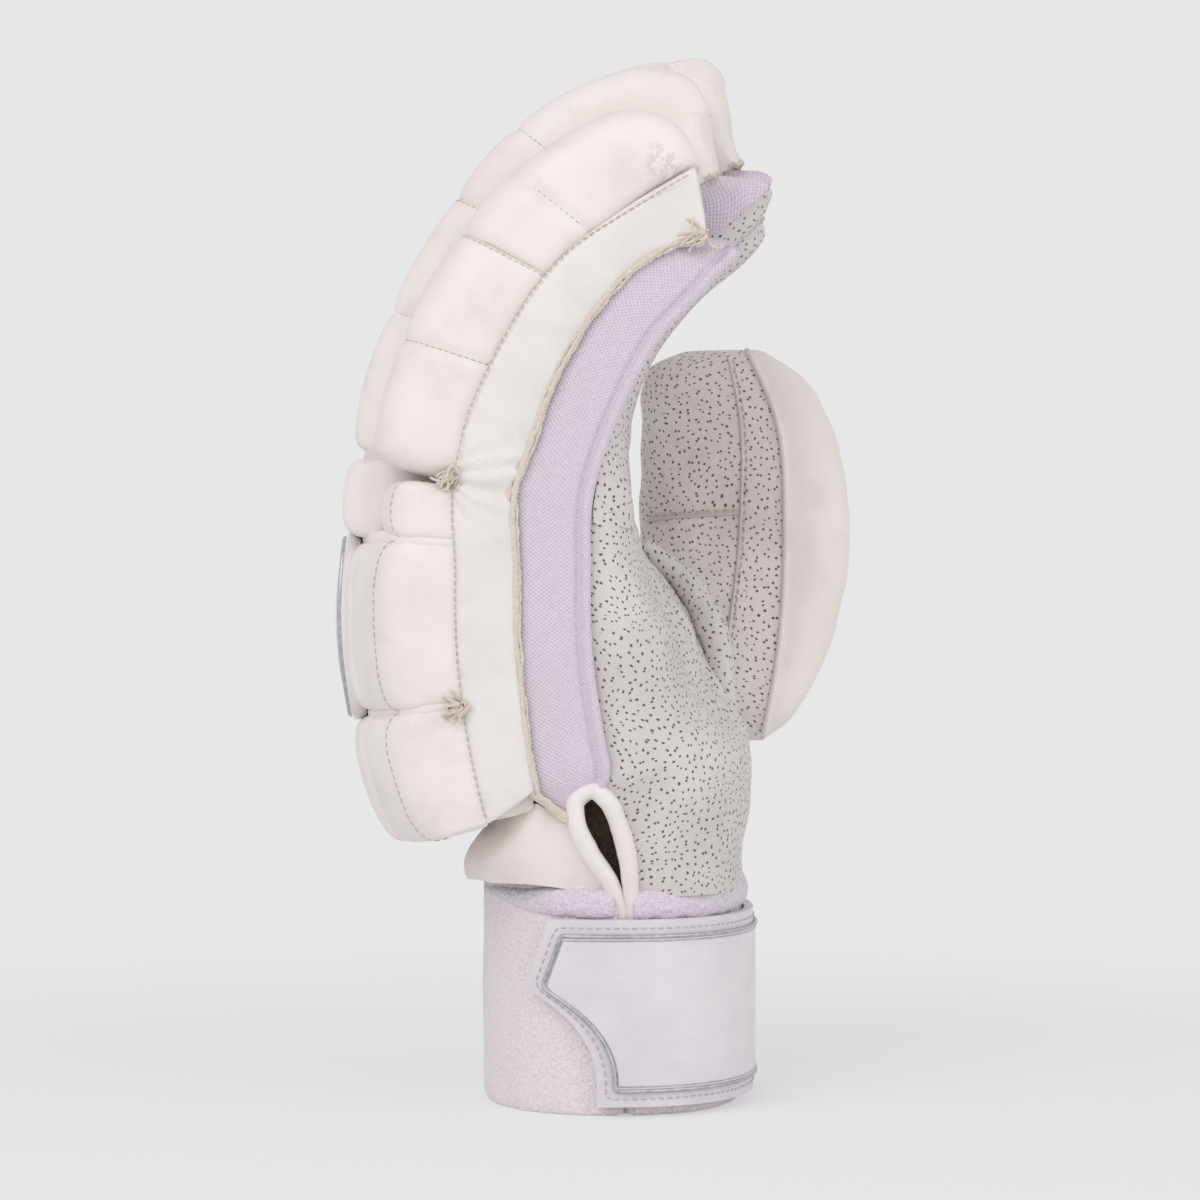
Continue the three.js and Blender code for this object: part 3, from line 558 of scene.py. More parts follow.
def leather_finish(name, pale, shaded, crease=0.25, scuff=None):
    """Smooth leather; scuff is the place of a worn patch."""
    f = Finish(name, 0.5, sheen=0.05)
    fine = f.noise(260.0)
    worn = f.ranged(f.noise(90.0, 5.0, 0.65), 0.52, 0.72)
    base = f.blend(f.ranged(f.noise(45.0), 0.3, 0.7), pale, shaded)
    base = f.blend(f.times(worn, 0.22), base, "D6CFCB")
    if scuff is not None:
        away = f.vector("LENGTH", f.vector("SUBTRACT", f.object, scuff))
        ragged = f.plus(away, f.ranged(fine, 0.0, 1.0, -0.005, 0.005))
        near = f.ranged(ragged, 0.002, 0.006, 1.0, 0.0)
        peel = f.noise(420.0, 4.0, 0.7)
        rim = f.minus(f.ranged(peel, 0.48, 0.5), f.ranged(peel, 0.515, 0.54))
        base = f.blend(f.times(near, f.ranged(peel, 0.5, 0.56)), base, "DFD4DA")
        base = f.blend(f.times(near, f.times(rim, 0.7)), base, "C9B8A8")
    f.set("Base Color", base)
    f.set("Roughness", f.ranged(fine, 0.2, 0.8, 0.42, 0.6))
    f.bump((f.noise(70.0, 3.0), crease, 0.0012), (fine, 0.22, 0.0004), (f.cells(900.0), 0.12, 0.0003))
    return f.material


def perforated_finish(name, pale, shaded):
    """Pale leather punched with rings of small holes and a pair of holes between each four rings."""
    cell, ring, hole, holes = 6.1, 1.9, 0.3, 7
    f = Finish(name, 0.62, sheen=0.08)
    drift = f.node("ShaderNodeTexNoise", {"Vector": f.uv, "Scale": 70.0, "Detail": 1.0}).outputs["Color"]
    drift = f.scaled(f.vector("SUBTRACT", drift, (0.5, 0.5, 0.5)), (0.9, 0.9, 0))
    lattice = f.vector("ADD", f.scaled(f.uv, (1 / (cell * MM),) * 3, math.radians(31)), drift)

    def centred(vector):
        inside = f.vector("SUBTRACT", f.vector("FRACTION", vector), (0.5, 0.5, 0.0))
        return f.node("ShaderNodeSeparateXYZ", {0: f.scaled(inside, (cell, cell, 0))}).outputs[:2]

    def chance(vector):
        return f.node("ShaderNodeTexWhiteNoise", {"Vector": vector}).outputs["Value"]

    def distance(x, y):
        return f.math("SQRT", f.plus(f.times(x, x), f.times(y, y)))

    x, y = centred(lattice)
    own_cell = f.vector("FLOOR", lattice)
    turn = f.plus(f.times(f.math("ARCTAN2", y, x), holes / (2 * math.pi)), chance(own_cell))
    which = f.node("ShaderNodeCombineXYZ", {2: f.math("FLOOR", turn)}).outputs[0]
    which = f.vector("ADD", own_cell, which)
    slide = f.ranged(chance(which), 0.0, 1.0, -0.2, 0.2)
    stray = f.ranged(chance(f.vector("ADD", which, (0.37, 0.61, 0.0))), 0.0, 1.0, -0.55, 0.55)
    place = f.plus(f.minus(f.math("FRACT", turn), 0.5), slide)
    away = f.minus(distance(x, y), f.plus(stray, ring))
    round_ring = distance(f.times(place, 2 * math.pi * ring / holes), away)
    corner = f.vector("ADD", lattice, (0.5, 0.5, 0.0))
    x, y = centred(corner)
    spin = f.times(chance(f.vector("FLOOR", corner)), 6.3)
    cosine, sine = f.math("COSINE", spin), f.math("SINE", spin)
    along = f.plus(f.times(x, cosine), f.times(y, sine))
    across = f.minus(f.times(y, cosine), f.times(x, sine))
    pair = distance(f.minus(f.math("ABSOLUTE", along), 0.42), across)
    dots = f.ranged(f.math("MINIMUM", round_ring, pair), hole - 0.1, hole + 0.1, 1.0, 0.0)
    base = f.blend(f.ranged(f.noise(40.0), 0.3, 0.7), pale, shaded)
    grime = f.ranged(f.noise(22.0, 5.0, 0.6), 0.5, 0.75)
    base = f.blend(f.times(grime, 0.25), base, "BDB2AB")
    # The holes' dark colour is painted shade inside them.
    f.set("Base Color", f.blend(dots, base, "5E5654"))
    pits = f.minus(1.0, dots)
    f.bump((f.noise(75.0), 0.35, 0.0012), (f.noise(320.0), 0.2, 0.0004), (pits, 0.6, 0.0004))
    return f.material


def knit_finish(name, pale, shaded):
    """Fine knit: staggered rows of small loops with darker gaps between them."""
    loop_width, loop_height = 0.62 * MM, 0.496 * MM
    f = Finish(name, 0.9, sheen=0.25)
    u, v, _ = f.node("ShaderNodeSeparateXYZ", {0: f.uv}).outputs
    wander = f.times(f.noise(160.0, 2.0, vector=f.uv), 1.2)
    across = f.plus(f.times(u, math.pi / loop_width), wander)
    weave = f.times(f.math("SINE", across), f.math("SINE", f.times(v, math.pi / loop_height)))
    fluff = f.noise(900.0, 5.0, 0.7)
    base = f.blend(f.ranged(f.plus(f.times(weave, 0.36), fluff), 0.1, 0.8), shaded, pale)
    broad = f.ranged(f.noise(60.0, 3.0), 0.35, 0.7)
    f.set("Base Color", f.blend(f.times(broad, 0.15), base, "D3C9D4"))
    f.bump((f.noise(110.0, 3.0), 0.25, 0.001), (weave, 0.4, 0.0003), (fluff, 0.3, 0.0003))
    return f.material


def terry_finish(name, pale, shaded):
    f = Finish(name, 0.95, sheen=0.4)
    loops = f.cells(1300.0)
    fluff = f.noise(1700.0, 4.0, 0.7)
    tone = f.ranged(f.plus(f.times(loops, -0.3), fluff), 0.05, 0.6)
    f.set("Base Color", f.blend(tone, shaded, pale))
    f.bump((loops, 0.6, 0.0005), (fluff, 0.4, 0.0003))
    return f.material


def strap_finish(name, pale, shaded, roughness):
    f = Finish(name, roughness)
    broad = f.noise(55.0)
    scratch = f.ranged(f.noise(130.0, 5.0, 0.6, f.scaled(f.object, (1, 1, 9))), 0.55, 0.75)
    base = f.blend(f.ranged(broad, 0.3, 0.7), pale, shaded)
    f.set("Base Color", f.blend(f.times(scratch, 0.2), base, "C9C3C9"))
    f.set("Roughness", f.ranged(broad, 0.3, 0.7, roughness - 0.06, roughness + 0.1))
    f.bump((f.noise(90.0, 3.0), 0.12, 0.001), (f.cells(1100.0), 0.1, 0.0002))
    return f.material


def silver_finish(name):
    f = Finish(name, 0.38, metallic=0.75)
    flecks = f.noise(700.0)
    f.set("Base Color", f.blend(f.ranged(flecks, 0.3, 0.7), "A9A9B2", "C6C6CD"))
    f.set("Roughness", f.ranged(flecks, 0.3, 0.7, 0.3, 0.5))
    f.bump((flecks, 0.2, 0.0002))
    return f.material


def thread_finish(name, pale, shaded):
    ply_pitch = 0.6 * MM
    f = Finish(name, 0.85, sheen=0.3)
    u, v, _ = f.node("ShaderNodeSeparateXYZ", {0: f.uv}).outputs
    ply = f.math("SINE", f.times(f.plus(u, v), 2 * math.pi / ply_pitch))
    fluff = f.noise(1200.0)
    tone = f.ranged(f.plus(f.times(ply, 0.2), fluff), 0.2, 0.8)
    f.set("Base Color", f.blend(tone, shaded, pale))
    f.bump((ply, 0.4, 0.0002), (fluff, 0.3, 0.0002))
    return f.material


def lining_finish(name, pale, shaded):
    f = Finish(name, 0.95)
    fluff = f.noise(500.0, 5.0, 0.7)
    f.set("Base Color", f.blend(f.ranged(fluff, 0.3, 0.7), shaded, pale))
    f.bump((fluff, 0.4, 0.0004))
    return f.material


ROLL_LEATHER = leather_finish("roll leather", "F1EAE7", "EAE2DF")
worn_patch = in_model((10.4, -50.5, 230.2))
SCUFFED_LEATHER = leather_finish("scuffed roll leather", "F1EAE7", "EAE2DF", scuff=worn_patch)
BAR_LEATHER = leather_finish("side bar leather", "EBE7E5", "E3DEDC", crease=0.3)
BLOCK_LEATHER = leather_finish("back leather", "F0E9E7", "E8E1DE")
WRIST_LEATHER = leather_finish("wrist leather", "EEE7E3", "E3DBD7", crease=0.5)
PIPING_LEATHER = leather_finish("piping leather", "F0EBE8", "E8E1DE", crease=0.15)
# One perforated leather in two copies: the palm's copy is painted darker as shade, the thumb's copy is
# painted lighter as light.
PERFORATED_PAINTED_SHADE = perforated_finish("perforated palm leather with painted shade", "DBD6D4", "CEC8C6")
PERFORATED_PAINTED_LIGHT = perforated_finish("perforated thumb leather with painted light", "EBE5E2", "DFD8D5")
PALM_WELT = leather_finish("palm welt", "D9D3D1", "CBC4C2")
KNIT = knit_finish("lavender knit", "E3D8E4", "CFC1D1")
TERRY = terry_finish("towelling", "F2EAEB", "E0D5D9")
TERRY_RIM = terry_finish("lavender towelling", "E6DEE9", "D0C5D3")
STRAP = strap_finish("strap", "E1DBE1", "D8D2D9", 0.45)
PANEL = strap_finish("strap panel", "E4E0E5", "DAD5DB", 0.36)
PLATE = strap_finish("plate", "EAE6E6", "E0DBDC", 0.34)
SILVER = silver_finish("silver edge")
CREAM = thread_finish("cream thread", "EDE3D8", "D8CABB")
STRAP_THREAD = thread_finish("strap thread", "D8D1D7", "C6BCC4")
SEAM_THREAD = thread_finish("seam thread", "D9CBBF", "C0AE9F")
HOOKS = lining_finish("hook tape", "DEDBE0", "C2BEC6")
# Brown lining, painted darker still as the shade inside the slit.
LINING_PAINTED_SHADE = lining_finish("brown lining with painted shade", "6E594D", "44352D")
COTTON = lining_finish("cotton underlay", "EFE8E3", "E0D8D2")


# Heights along the little finger's side: the top and foot of its padded bar, and the hem of its knit
bar_top = curve_through([
    (-100, 33.0), (3, 33.0), (10, 32.6), (21, 30.8), (32, 29.0), (43, 27.0), (52, 24.2), (61, 20.8),
    (71, 18.8), (86, 18.4),
])
bar_low = curve_through([
    (-100, 20.4), (-72, 20.2), (-60, 19.8), (-20, 19.4), (-4, 19.0), (7, 17.0), (19, 16.0), (32, 14.4),
    (46, 12.2), (58, 10.0), (66, 7.6), (73, 5.0), (86, 3.6),
])
hem_low = curve_through([
    (-100, 14.5), (-86, 14.5), (-79, 11.0), (-75.5, 3.0), (-71, 0.6), (-66, 0.4), (-60, 0.4), (-20, 0.4),
    (0, -0.8), (17, -2.5), (30, -3.7), (44, -4.9), (53, -6.2), (62, -6.6), (70, -5.8), (80, -4.0), (90, 1.0),
])


# Padded rolls on the fingers
ROLL_START = -2.6
ROLL_FULLNESS = 3.0
ROLL_PUFF = 0.7
BASE_END_RADIUS = 6.0
TIP_END_RADIUS = 10.0
TIP_END_SHARE = 0.42
SEAM_WIDTH = 0.8
SEAM_DEPTH = 0.55
OUTER_SWELL = 3.4
OUTER_SEAM = 33.0

# How far the leather of the three longer rolls lies below their full height, by share of the finger
roll_slack = curve_through([
    (-0.1, 0.0), (0.1, 0.2), (0.3, 1.2), (0.45, 1.7), (0.58, 1.2), (0.67, 0.8), (0.75, 1.5), (0.83, 2.6),
    (0.9, 3.4), (0.94, 3.4), (0.98, 1.6), (1.05, 0.4),
])


def end_share(distance, radius, floor):
    inside = 1 - np.clip(distance / radius, 0, 1)
    return floor + (1 - floor) * np.sqrt(1 - inside**2)


def roll_seams(finger):
    return np.array([finger["base"] / 2, finger["base"], finger["base"] + 0.3 * finger["tip"]])


def roll_rings(finger, places, lift=0.0):
    """Rings round a roll at places along its finger, plumped between its seams and drawn in at them."""
    s = np.asarray(places, float)[:, None]
    length = finger["length"]
    seams = roll_seams(finger)
    edges = np.array([ROLL_START - 0.6, *seams, length])
    cell = np.clip(np.searchsorted(edges, s, side="right") - 1, 0, len(edges) - 2)
    inside = np.clip((s - edges[cell]) / (edges[cell + 1] - edges[cell]), 0, 1)
    puff = np.sin(np.pi * inside) ** 0.6
    nearest = np.abs(s[..., None] - seams).min(-1)
    crease = bell(nearest, SEAM_WIDTH)
    outer = np.sign(finger["y"]) if abs(finger["y"]) > 30 else 0
    blunt, slack = (0.6, 0.0) if outer < 0 else (0.9, roll_slack(s / length))
    share = end_share(s - ROLL_START, BASE_END_RADIUS, blunt)
    share = share * end_share(length - finger["set_back"] - s, TIP_END_RADIUS, TIP_END_SHARE)
    height = mix(finger["top"], ROLL_TIP_TOP, np.clip(s / length, 0, 1) ** ROLL_TAPER) - STALL_DEPTH
    floor = STALL_DEPTH + SEWN_GAP
    top = floor + (height - slack) * share + ROLL_PUFF * puff - 0.3 - SEAM_DEPTH * crease
    half = FINGER_HALF * (0.35 + 0.65 * share) - 0.3 * crease
    turn = circle(56)[None]
    y = half * signed_power(np.cos(turn), np.where(np.sin(turn) > 0, 2 / ROLL_FULLNESS, 2 / 9.0))
    v = (floor + top) / 2 + (top - floor) / 2 * signed_power(np.sin(turn), 2 / ROLL_FULLNESS)
    seam = bar_top(s) if outer < 0 else OUTER_SEAM
    proud = smooth(seam - 3, seam + 3, v) * np.clip(outer * y / FINGER_HALF, 0, 1)
    y = y + outer * (OUTER_SWELL * share - 0.6 * crease) * proud
    pucker = lumps(points_at(s / 9.0, y / 3.2, v / 3.2), 3)
    swell = 0.28 * np.exp(-nearest / 3.0) * pucker + lift
    y = y + swell * np.cos(turn)
    v = v + swell * np.sin(turn) * (np.sin(turn) > 0)
    return on_finger(finger, s, finger["y"] + y, v)


def domed(rings, first=True, last=True, bulge=1.0):
    """Adds shrinking rings that close each end with a low dome."""
    rings = list(rings)
    shares = ((0.93, 0.45), (0.75, 0.8), (0.48, 1.0), (0.2, 1.05))
    for wanted, end, beside in ((first, 0, 1), (last, -1, -2)):
        if not wanted:
            continue
        rim = rings[end]
        centre = rim.mean(0)
        out = centre - rings[beside].mean(0)
        out = out / np.linalg.norm(out) * bulge
        caps = [centre + (rim - centre) * share + out * lift for share, lift in shares]
        rings = caps[::-1] + rings if end == 0 else rings + caps
    return np.array(rings)


def upper_arc(ring):
    """The part of a roll's ring that runs over its top and down its outer side."""
    return ring[: round(0.68 * len(ring))]


for name, finger in FINGERS.items():
    base, end = finger["base"], finger["length"] - finger["set_back"] - 0.4
    for part, start, stop in (("base", ROLL_START, base - 0.01), ("tip", base + 0.01, end)):
        body = f"{name}_{part}"
        rings = roll_rings(finger, np.linspace(start, stop, 52))
        rings = domed(rings, part == "base", part == "tip", 0.5)
        rings = domed(rings, part == "tip", part == "base", -0.3)
        leather = SCUFFED_LEATHER if body == "little_tip" else ROLL_LEATHER
        nodes = f"{body}_cover", f"{body}_foam"
        padded_piece(f"{body}_roll", body, loft_part(rings), leather, 0.85, "white_leather", *nodes)
    first, middle, last = roll_seams(finger)
    for part, places in (("base", (first, middle - 0.5)), ("tip", (last,))):
        rows = [upper_arc(ring) for ring in roll_rings(finger, places, 0.1)]
        threads = build(f"{name}_{part}_roll_stitches", stitch_parts(rows, *ROLL_STITCH), SEAM_THREAD)
        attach(threads, f"{name}_{part}")


# Blocks on the back of the hand
BLOCK_BOTTOM = BAR_DEPTH - 0.2
BLOCK_SIDE = HAND_HALF + 2.2
BLOCK_CROWN, CROWN_ARCH = 51.0, 7.0
EDGE_RADIUS, EDGE_DROP, EDGE_INSET = 5.0, 3.0, 0.7
TOP_POWER, FOOT_POWER = 0.4, 0.12
BACK_FROM = -KNUCKLE_BAR_LENGTH - BACK_BLOCK_LENGTH
WRIST_FROM = -HAND_LENGTH - 1.0


def block_rings(low, high, start, stop, top, rows=40, droop=0.0):
    """Rings round a block from low to high across the hand, puffed up in its middle."""
    y = np.linspace(low, high, rows)[:, None]
    inset = np.clip(np.minimum(y - low, high - y) / EDGE_RADIUS, 0, 1)
    round_end = np.sqrt(1 - (1 - inset) ** 2)
    turn = circle(64)[None]
    power = np.where(np.sin(turn) > 0, TOP_POWER, FOOT_POWER)
    along, up = signed_power(np.cos(turn), power), signed_power(np.sin(turn), power)
    crown = top(y) - EDGE_DROP * (1 - round_end)
    half = (stop - start) / 2 - EDGE_INSET * (1 - round_end)
    v = (BLOCK_BOTTOM + crown) / 2 + (crown - BLOCK_BOTTOM) / 2 * up
    v = v + (1 - along**2) * (up > 0) * round_end - droop * ((1 - along) / 2) ** 2 * np.clip(up, 0, 1)
    s = (start + stop) / 2 + half * along
    lump = lumps(points_at(s / 7.0, y / 7.0, v / 7.0), 5)
    return on_hand(s, y, v + 0.3 * lump * (up > 0.2))


def block_top(y):
    return BLOCK_CROWN + CROWN_ARCH * (1 - (y / HAND_HALF) ** 2)


def wrist_top(y):
    channel = bell(y + FINGER_PITCH, 1.8) + bell(y - FINGER_PITCH, 1.8)
    return block_top(y) - 3.5 * channel


def padded_block(name, rings, node):
    part = loft_part(domed(rings, bulge=1.2))
    padded_piece(name, "hand", part, BLOCK_LEATHER, 0.9, "white_leather", node)


def edge_stitches(name, ring):
    """A row of stitches over the top of one ring of a block."""
    middle = ring.mean(0)
    arc = middle + (ring[: len(ring) // 2 + 1] - middle) * 1.008
    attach(build(name, stitch_parts([arc], *BLOCK_STITCH), SEAM_THREAD), "hand")


for name, finger in FINGERS.items():
    low = -BLOCK_SIDE if name == "little" else finger["y"] - FINGER_HALF + 0.2
    high = BLOCK_SIDE if name == "index" else finger["y"] + FINGER_HALF - 0.2
    top = finger["top"] + (-5.0 if name == "little" else 0.2)
    stop = rise(finger["y"]) + ROLL_START - 1.2
    rings = block_rings(low, high, -KNUCKLE_BAR_LENGTH + 0.1, stop, lambda y: top, rows=28)
    padded_block(f"{name}_knuckle_pad", rings, f"{name}_knuckle_bar")
    if name == "little":
        edge_stitches("knuckle_edge_stitches", rings[3])

for name, low, high in (
    ("little", -BLOCK_SIDE, -FINGER_PITCH),
    ("centre", -FINGER_PITCH, FINGER_PITCH),
    ("index", FINGER_PITCH, BLOCK_SIDE),
):
    rings = block_rings(low + 0.1, high - 0.1, BACK_FROM + 0.1, -KNUCKLE_BAR_LENGTH - 0.1, block_top)
    padded_block(f"back_pad_{name}", rings, f"back_block_{name}")
    if name == "little":
        edge_stitches("back_edge_stitches", rings[7])

rings = block_rings(-BLOCK_SIDE, BLOCK_SIDE, WRIST_FROM, BACK_FROM - 0.1, wrist_top, rows=90, droop=3.2)
padded_block("wrist_pad", rings, "wrist_block")
edge_stitches("wrist_edge_stitches", rings[4])

# Soft seams across the back, in the channels between the rows of blocks
for label, place in (("upper", -KNUCKLE_BAR_LENGTH), ("lower", BACK_FROM)):
    edge = BLOCK_SIDE - 2.1
    up = np.linspace(34.0, block_top(edge) - 8.5, 12)
    y = np.linspace(-HAND_HALF + 2, HAND_HALF - 2, 60)
    over = on_hand(place, y, block_top(y) - 5.8)
    path = np.concatenate([on_hand(place, -edge, up), over, on_hand(place, edge, up[::-1])])
    seam = tube_part(resample(path, 1.2), 2.2, 12)
    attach(build(f"back_cross_seam_{label}", [seam], BLOCK_LEATHER), "hand")

# Underlay between the blocks and the hand
half = HAND_HALF - 0.8
y = np.linspace(-half, half, 40)[:, None]
along, up = squared_off(circle(40)[None], 8.0)
knuckle_line = np.minimum(rise(little["y"]), rise(y)) - 0.8
middle, reach = (knuckle_line - HAND_LENGTH) / 2, (knuckle_line + HAND_LENGTH) / 2
rings = on_hand(middle + reach * along, y, (STALL_DEPTH + BAR_DEPTH) / 2 + 6.3 * up)
padded_piece("back_underlay", "hand", loft_part(rings), COTTON, 0.8, "foam", "back_foam_underlay")

# Soft fold of leather between the knuckle pads and the three longer rolls
y = np.linspace(-24.0, HAND_HALF - 1.0, 60)
tops = [(FINGERS[name]["y"], FINGERS[name]["top"]) for name in ("middle", "index")]
path = on_hand(rise(y) + ROLL_START - 0.6, y, np.interp(y, *zip(*tops)) - 6.0)
padded_piece("knuckle_fold", "hand", tube_part(path, 3.4, 16), BLOCK_LEATHER, 0.5, "white_leather")

# Bare plate on the back, with a bright edge
PLATE_HALF, PLATE_LENGTH, PLATE_FULLNESS = 19.0, 37.0, 3.4
PLATE_SECTION = (
    (0.2, -2.0), (0.97, -2.0), (1.0, -1.5), (1.0, 1.3), (0.96, 2.0), (0.85, 2.3), (0.5, 2.7), (0.1, 2.8),
)


def on_back(share, height):
    """Places on the back at a share of the plate's outline, bowed to follow the block beneath."""
    across, along = share * np.array(squared_off(circle(96), PLATE_FULLNESS))
    y = PLATE_HALF * across
    s = BACK_FROM + BACK_BLOCK_LENGTH / 2 + PLATE_LENGTH / 2 * along
    return on_hand(s, y, block_top(y) + height - 1.8 * along**2)


rings = [on_back(share, height) for share, height in PLATE_SECTION]
plate = build("back_plate", [loft_part(rings)], PLATE)
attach(plate, "hand")
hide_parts("badge_plate")
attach(build("back_plate_edge", [tube_part(on_back(0.93, 2.1), 0.75, 10, closed=True)], SILVER), "hand")


# Side bars: padded leather strips along the two edges of the hand

def bar_rings(finger, side, places):
    s = places[:, None]
    turn = circle(40)[None]
    low, top = bar_low(s) - 0.2, bar_top(s) + 0.4 + smooth(48, 66, s)
    up = signed_power(np.sin(turn), 2 / 3.2)
    v = (low + top) / 2 + (top - low) / 2 * up
    out = signed_power(np.cos(turn), 2 / 2.6)
    y = HAND_HALF + 1.6 + 2.1 * out - 1.6 * smooth(66, 82, s)
    place = points_at(s / 5.0, v / 14.0, y / 14.0)
    gathers = 0.6 * lumps(place, 11) + 0.35 * lumps(place * (2.1, 1, 1), 12)
    at_knuckle = bell(s + 2.0, 7.0)
    creases = np.sin(21 * np.arctan2(s + 2.0, 40.0 - v) + 2.0 * lumps(place, 13))
    y = y + ((0.35 + 0.6 * at_knuckle) * gathers + (0.75 * creases - 0.7) * at_knuckle) * (out > 0)
    slant = 3.0 * (1 - up) * smooth(58, 79, s) - 2.4 * (1 - up) * smooth(bar_start + 14, bar_start, s)
    return on_finger(finger, s - slant, side * y, v)


# The little finger's side pieces come in two lengths: the lower reaches over the knuckle, the upper over the
# middle joint
HALF_BASE = little["base"] / 2
SIDE_Y = -50.0


def side_lengths(start, end):
    return ("lower", start, HALF_BASE), ("upper", HALF_BASE, end)


def bend_side(piece, length):
    bend_finger(piece, "little", "base" if length == "lower" else "tip", SIDE_Y)


for part, start, end, rows, bulge, nodes in (
    ("lower", bar_start, HALF_BASE, 110, 0.6, ("hand_side_bar_little", "little_base_side_bar")),
    ("upper", HALF_BASE, little["length"] - 2, 70, 0.8, ("little_tip_side_bar",)),
):
    rings = bar_rings(little, -1, np.linspace(start, end, rows))
    rings = domed(rings, part == "lower", part == "upper", bulge)
    bar = build(f"little_side_bar_{part}", [loft_part(rings)], BAR_LEATHER)
    bend_side(bar, part)
    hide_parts(*nodes)
part = loft_part(domed(bar_rings(index, 1, np.linspace(index_start, -0.6, 80)), bulge=0.6))
padded_piece("index_side_bar", "hand", part, BAR_LEATHER, 0.7, "white_leather", "hand_side_bar_index")


# Knit strip on each edge of the hand, with its folded hem towards the palm

def tuck_in(s):
    """How far the edge pieces go in towards the slit below the side bar."""
    return 3.4 * smooth(bar_start + 8, bar_start - 5, s)


def knit_top(s):
    """Height where the knit meets the side bar, drawn towards the slit below the bar's end."""
    return bar_low(s) - 0.9 * np.maximum(bar_start + 3.5 - s, 0)


def strip_grid(finger, side, places):
    s = places[:, None]
    share = np.linspace(0, 1, 56)[None]
    at_tip = smooth(64, 82, s)
    low = hem_low(s) if side < 0 else np.full_like(s, 0.4)
    v = mix(low, knit_top(s) + 0.8, share)
    up = v - low
    hem = 1.2 * np.exp(-(((up - 1.3) / 1.2) ** 4)) - 0.6 * bell(up - 3.3, 0.6)
    bow = 0.9 * np.sin(np.pi * share)
    place = points_at(s / 11.0, v / 5.0, 0.0)
    folds = 0.3 * lumps(place, 21) + 0.8 * at_tip * lumps(place * (3.0, 1.2, 1), 22)
    y = HAND_HALF + 0.35 + bow + hem + folds - 3.4 * at_tip**1.3 - tuck_in(s)
    slant = 6.5 * share * smooth(60, 80, s)
    return on_finger(finger, s - slant, side * y, v)


for part, start, end in side_lengths(bar_start - 5.0, little["length"] - 1.5):
    rows, under = (104, "palm_shell") if part == "lower" else (80, "little_tip_knit_sleeve")
    grid = strip_grid(little, -1, np.linspace(start, end, rows))
    knit = sheet_piece(f"little_knit_strip_{part}", grid, KNIT_THICKNESS, KNIT)
    bend_side(knit, part)
    if part == "lower":
        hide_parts("ulnar_gusset")
grid = strip_grid(index, 1, np.linspace(index_start + 1, -0.5, 80))
knit = sheet_piece("index_knit_strip", grid[:, ::-1], KNIT_THICKNESS, KNIT)
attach(knit, "hand")
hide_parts("radial_gusset")


# Knit sleeves and palm leather of the fingers
finger_sag = curve_through([
    (-0.2, 11.0), (0.0, 9.5), (0.12, 7.0), (0.25, 5.6), (0.4, 5.6), (0.6, 8.0), (0.8, 9.4), (0.9, 8.6),
    (0.97, 6.4), (1.02, 4.4),
])


def sag(finger, s):
    """How far the soft palm side of a finger hangs below its line."""
    slack = mix(1.0, 0.6, smooth(0, 30, s)) if finger is little else 1.0
    return finger_sag(s / finger["length"]) * slack


def tip_tuck(v):
    """How far a sleeve's closed end stands behind the fingertip, by height."""
    return 12.0 * smooth(-3, 8.5, v)


def sleeve_grid(finger, places, closed):
    """An open trough over the back and sides of a finger; a closed one is gathered shut at the fingertip."""
    ends = 9 if closed else 0
    s = np.concatenate([places, np.full(ends, places[-1])])[:, None]
    shut = np.concatenate([np.zeros(len(places)), np.linspace(0, 1, ends + 1)[1:]])[:, None]
    length = finger["length"]
    drawn = smooth(length - 24, length, s)
    near = smooth(length - 36, length - 18, s)
    half = (FINGER_HALF - 0.5) * (1 - 0.16 * smooth(length - 10, length, s))
    height = STALL_DEPTH - 0.2
    foot = (0.05 + 0.2 * near if finger is little else 0.3 + 0.36 * near) * sag(finger, s)
    run = np.linspace(-1, 1, 56)[None]
    side = 0.64
    wall = np.abs(run) > 1 - side
    y = np.where(wall, np.sign(run) * half, run / (1 - side) * half)
    v = np.where(wall, (1 - np.abs(run)) / side * (height + foot) - foot, height)
    round_off = bell(np.abs(run) - (1 - side), 0.09)
    y = y - np.sign(run) * 1.1 * round_off
    v = v - 1.1 * round_off
    place = points_at(s / 7.0, y / 7.0, v / 7.0)
    wrinkle = 0.25 * lumps(place, 31)
    gathers = 1.8 * drawn * lumps(place * (0.5, 2.4, 2.4), 32)
    set_back = tip_tuck(v) * drawn
    y = (y + np.sign(run) * gathers * wall) * (1 - 1.03 * shut)
    v = mix(v + 0.6 + wrinkle * ~wall, mix(v, -2.0, 0.85), shut)
    ahead = s - set_back + 0.6 * gathers * (1 - shut) + 0.8 * np.sin(np.pi / 2 * shut)
    return on_finger(finger, ahead, finger["y"] + y, v)


def strip_path(start, end, tip):
    """Places (s, v) along a finger's palm leather, turned up at the fingertip."""
    turned = ((1.0, 0.2), (1.9, 0.6), (2.5, 1.2), (2.8, 1.9)) if tip else ()
    flat_end = end - 3.0 if tip else end
    places = [(s, 0.0) for s in np.linspace(start, flat_end, 48)]
    return np.array(places + [(flat_end + ahead, height) for ahead, height in turned])


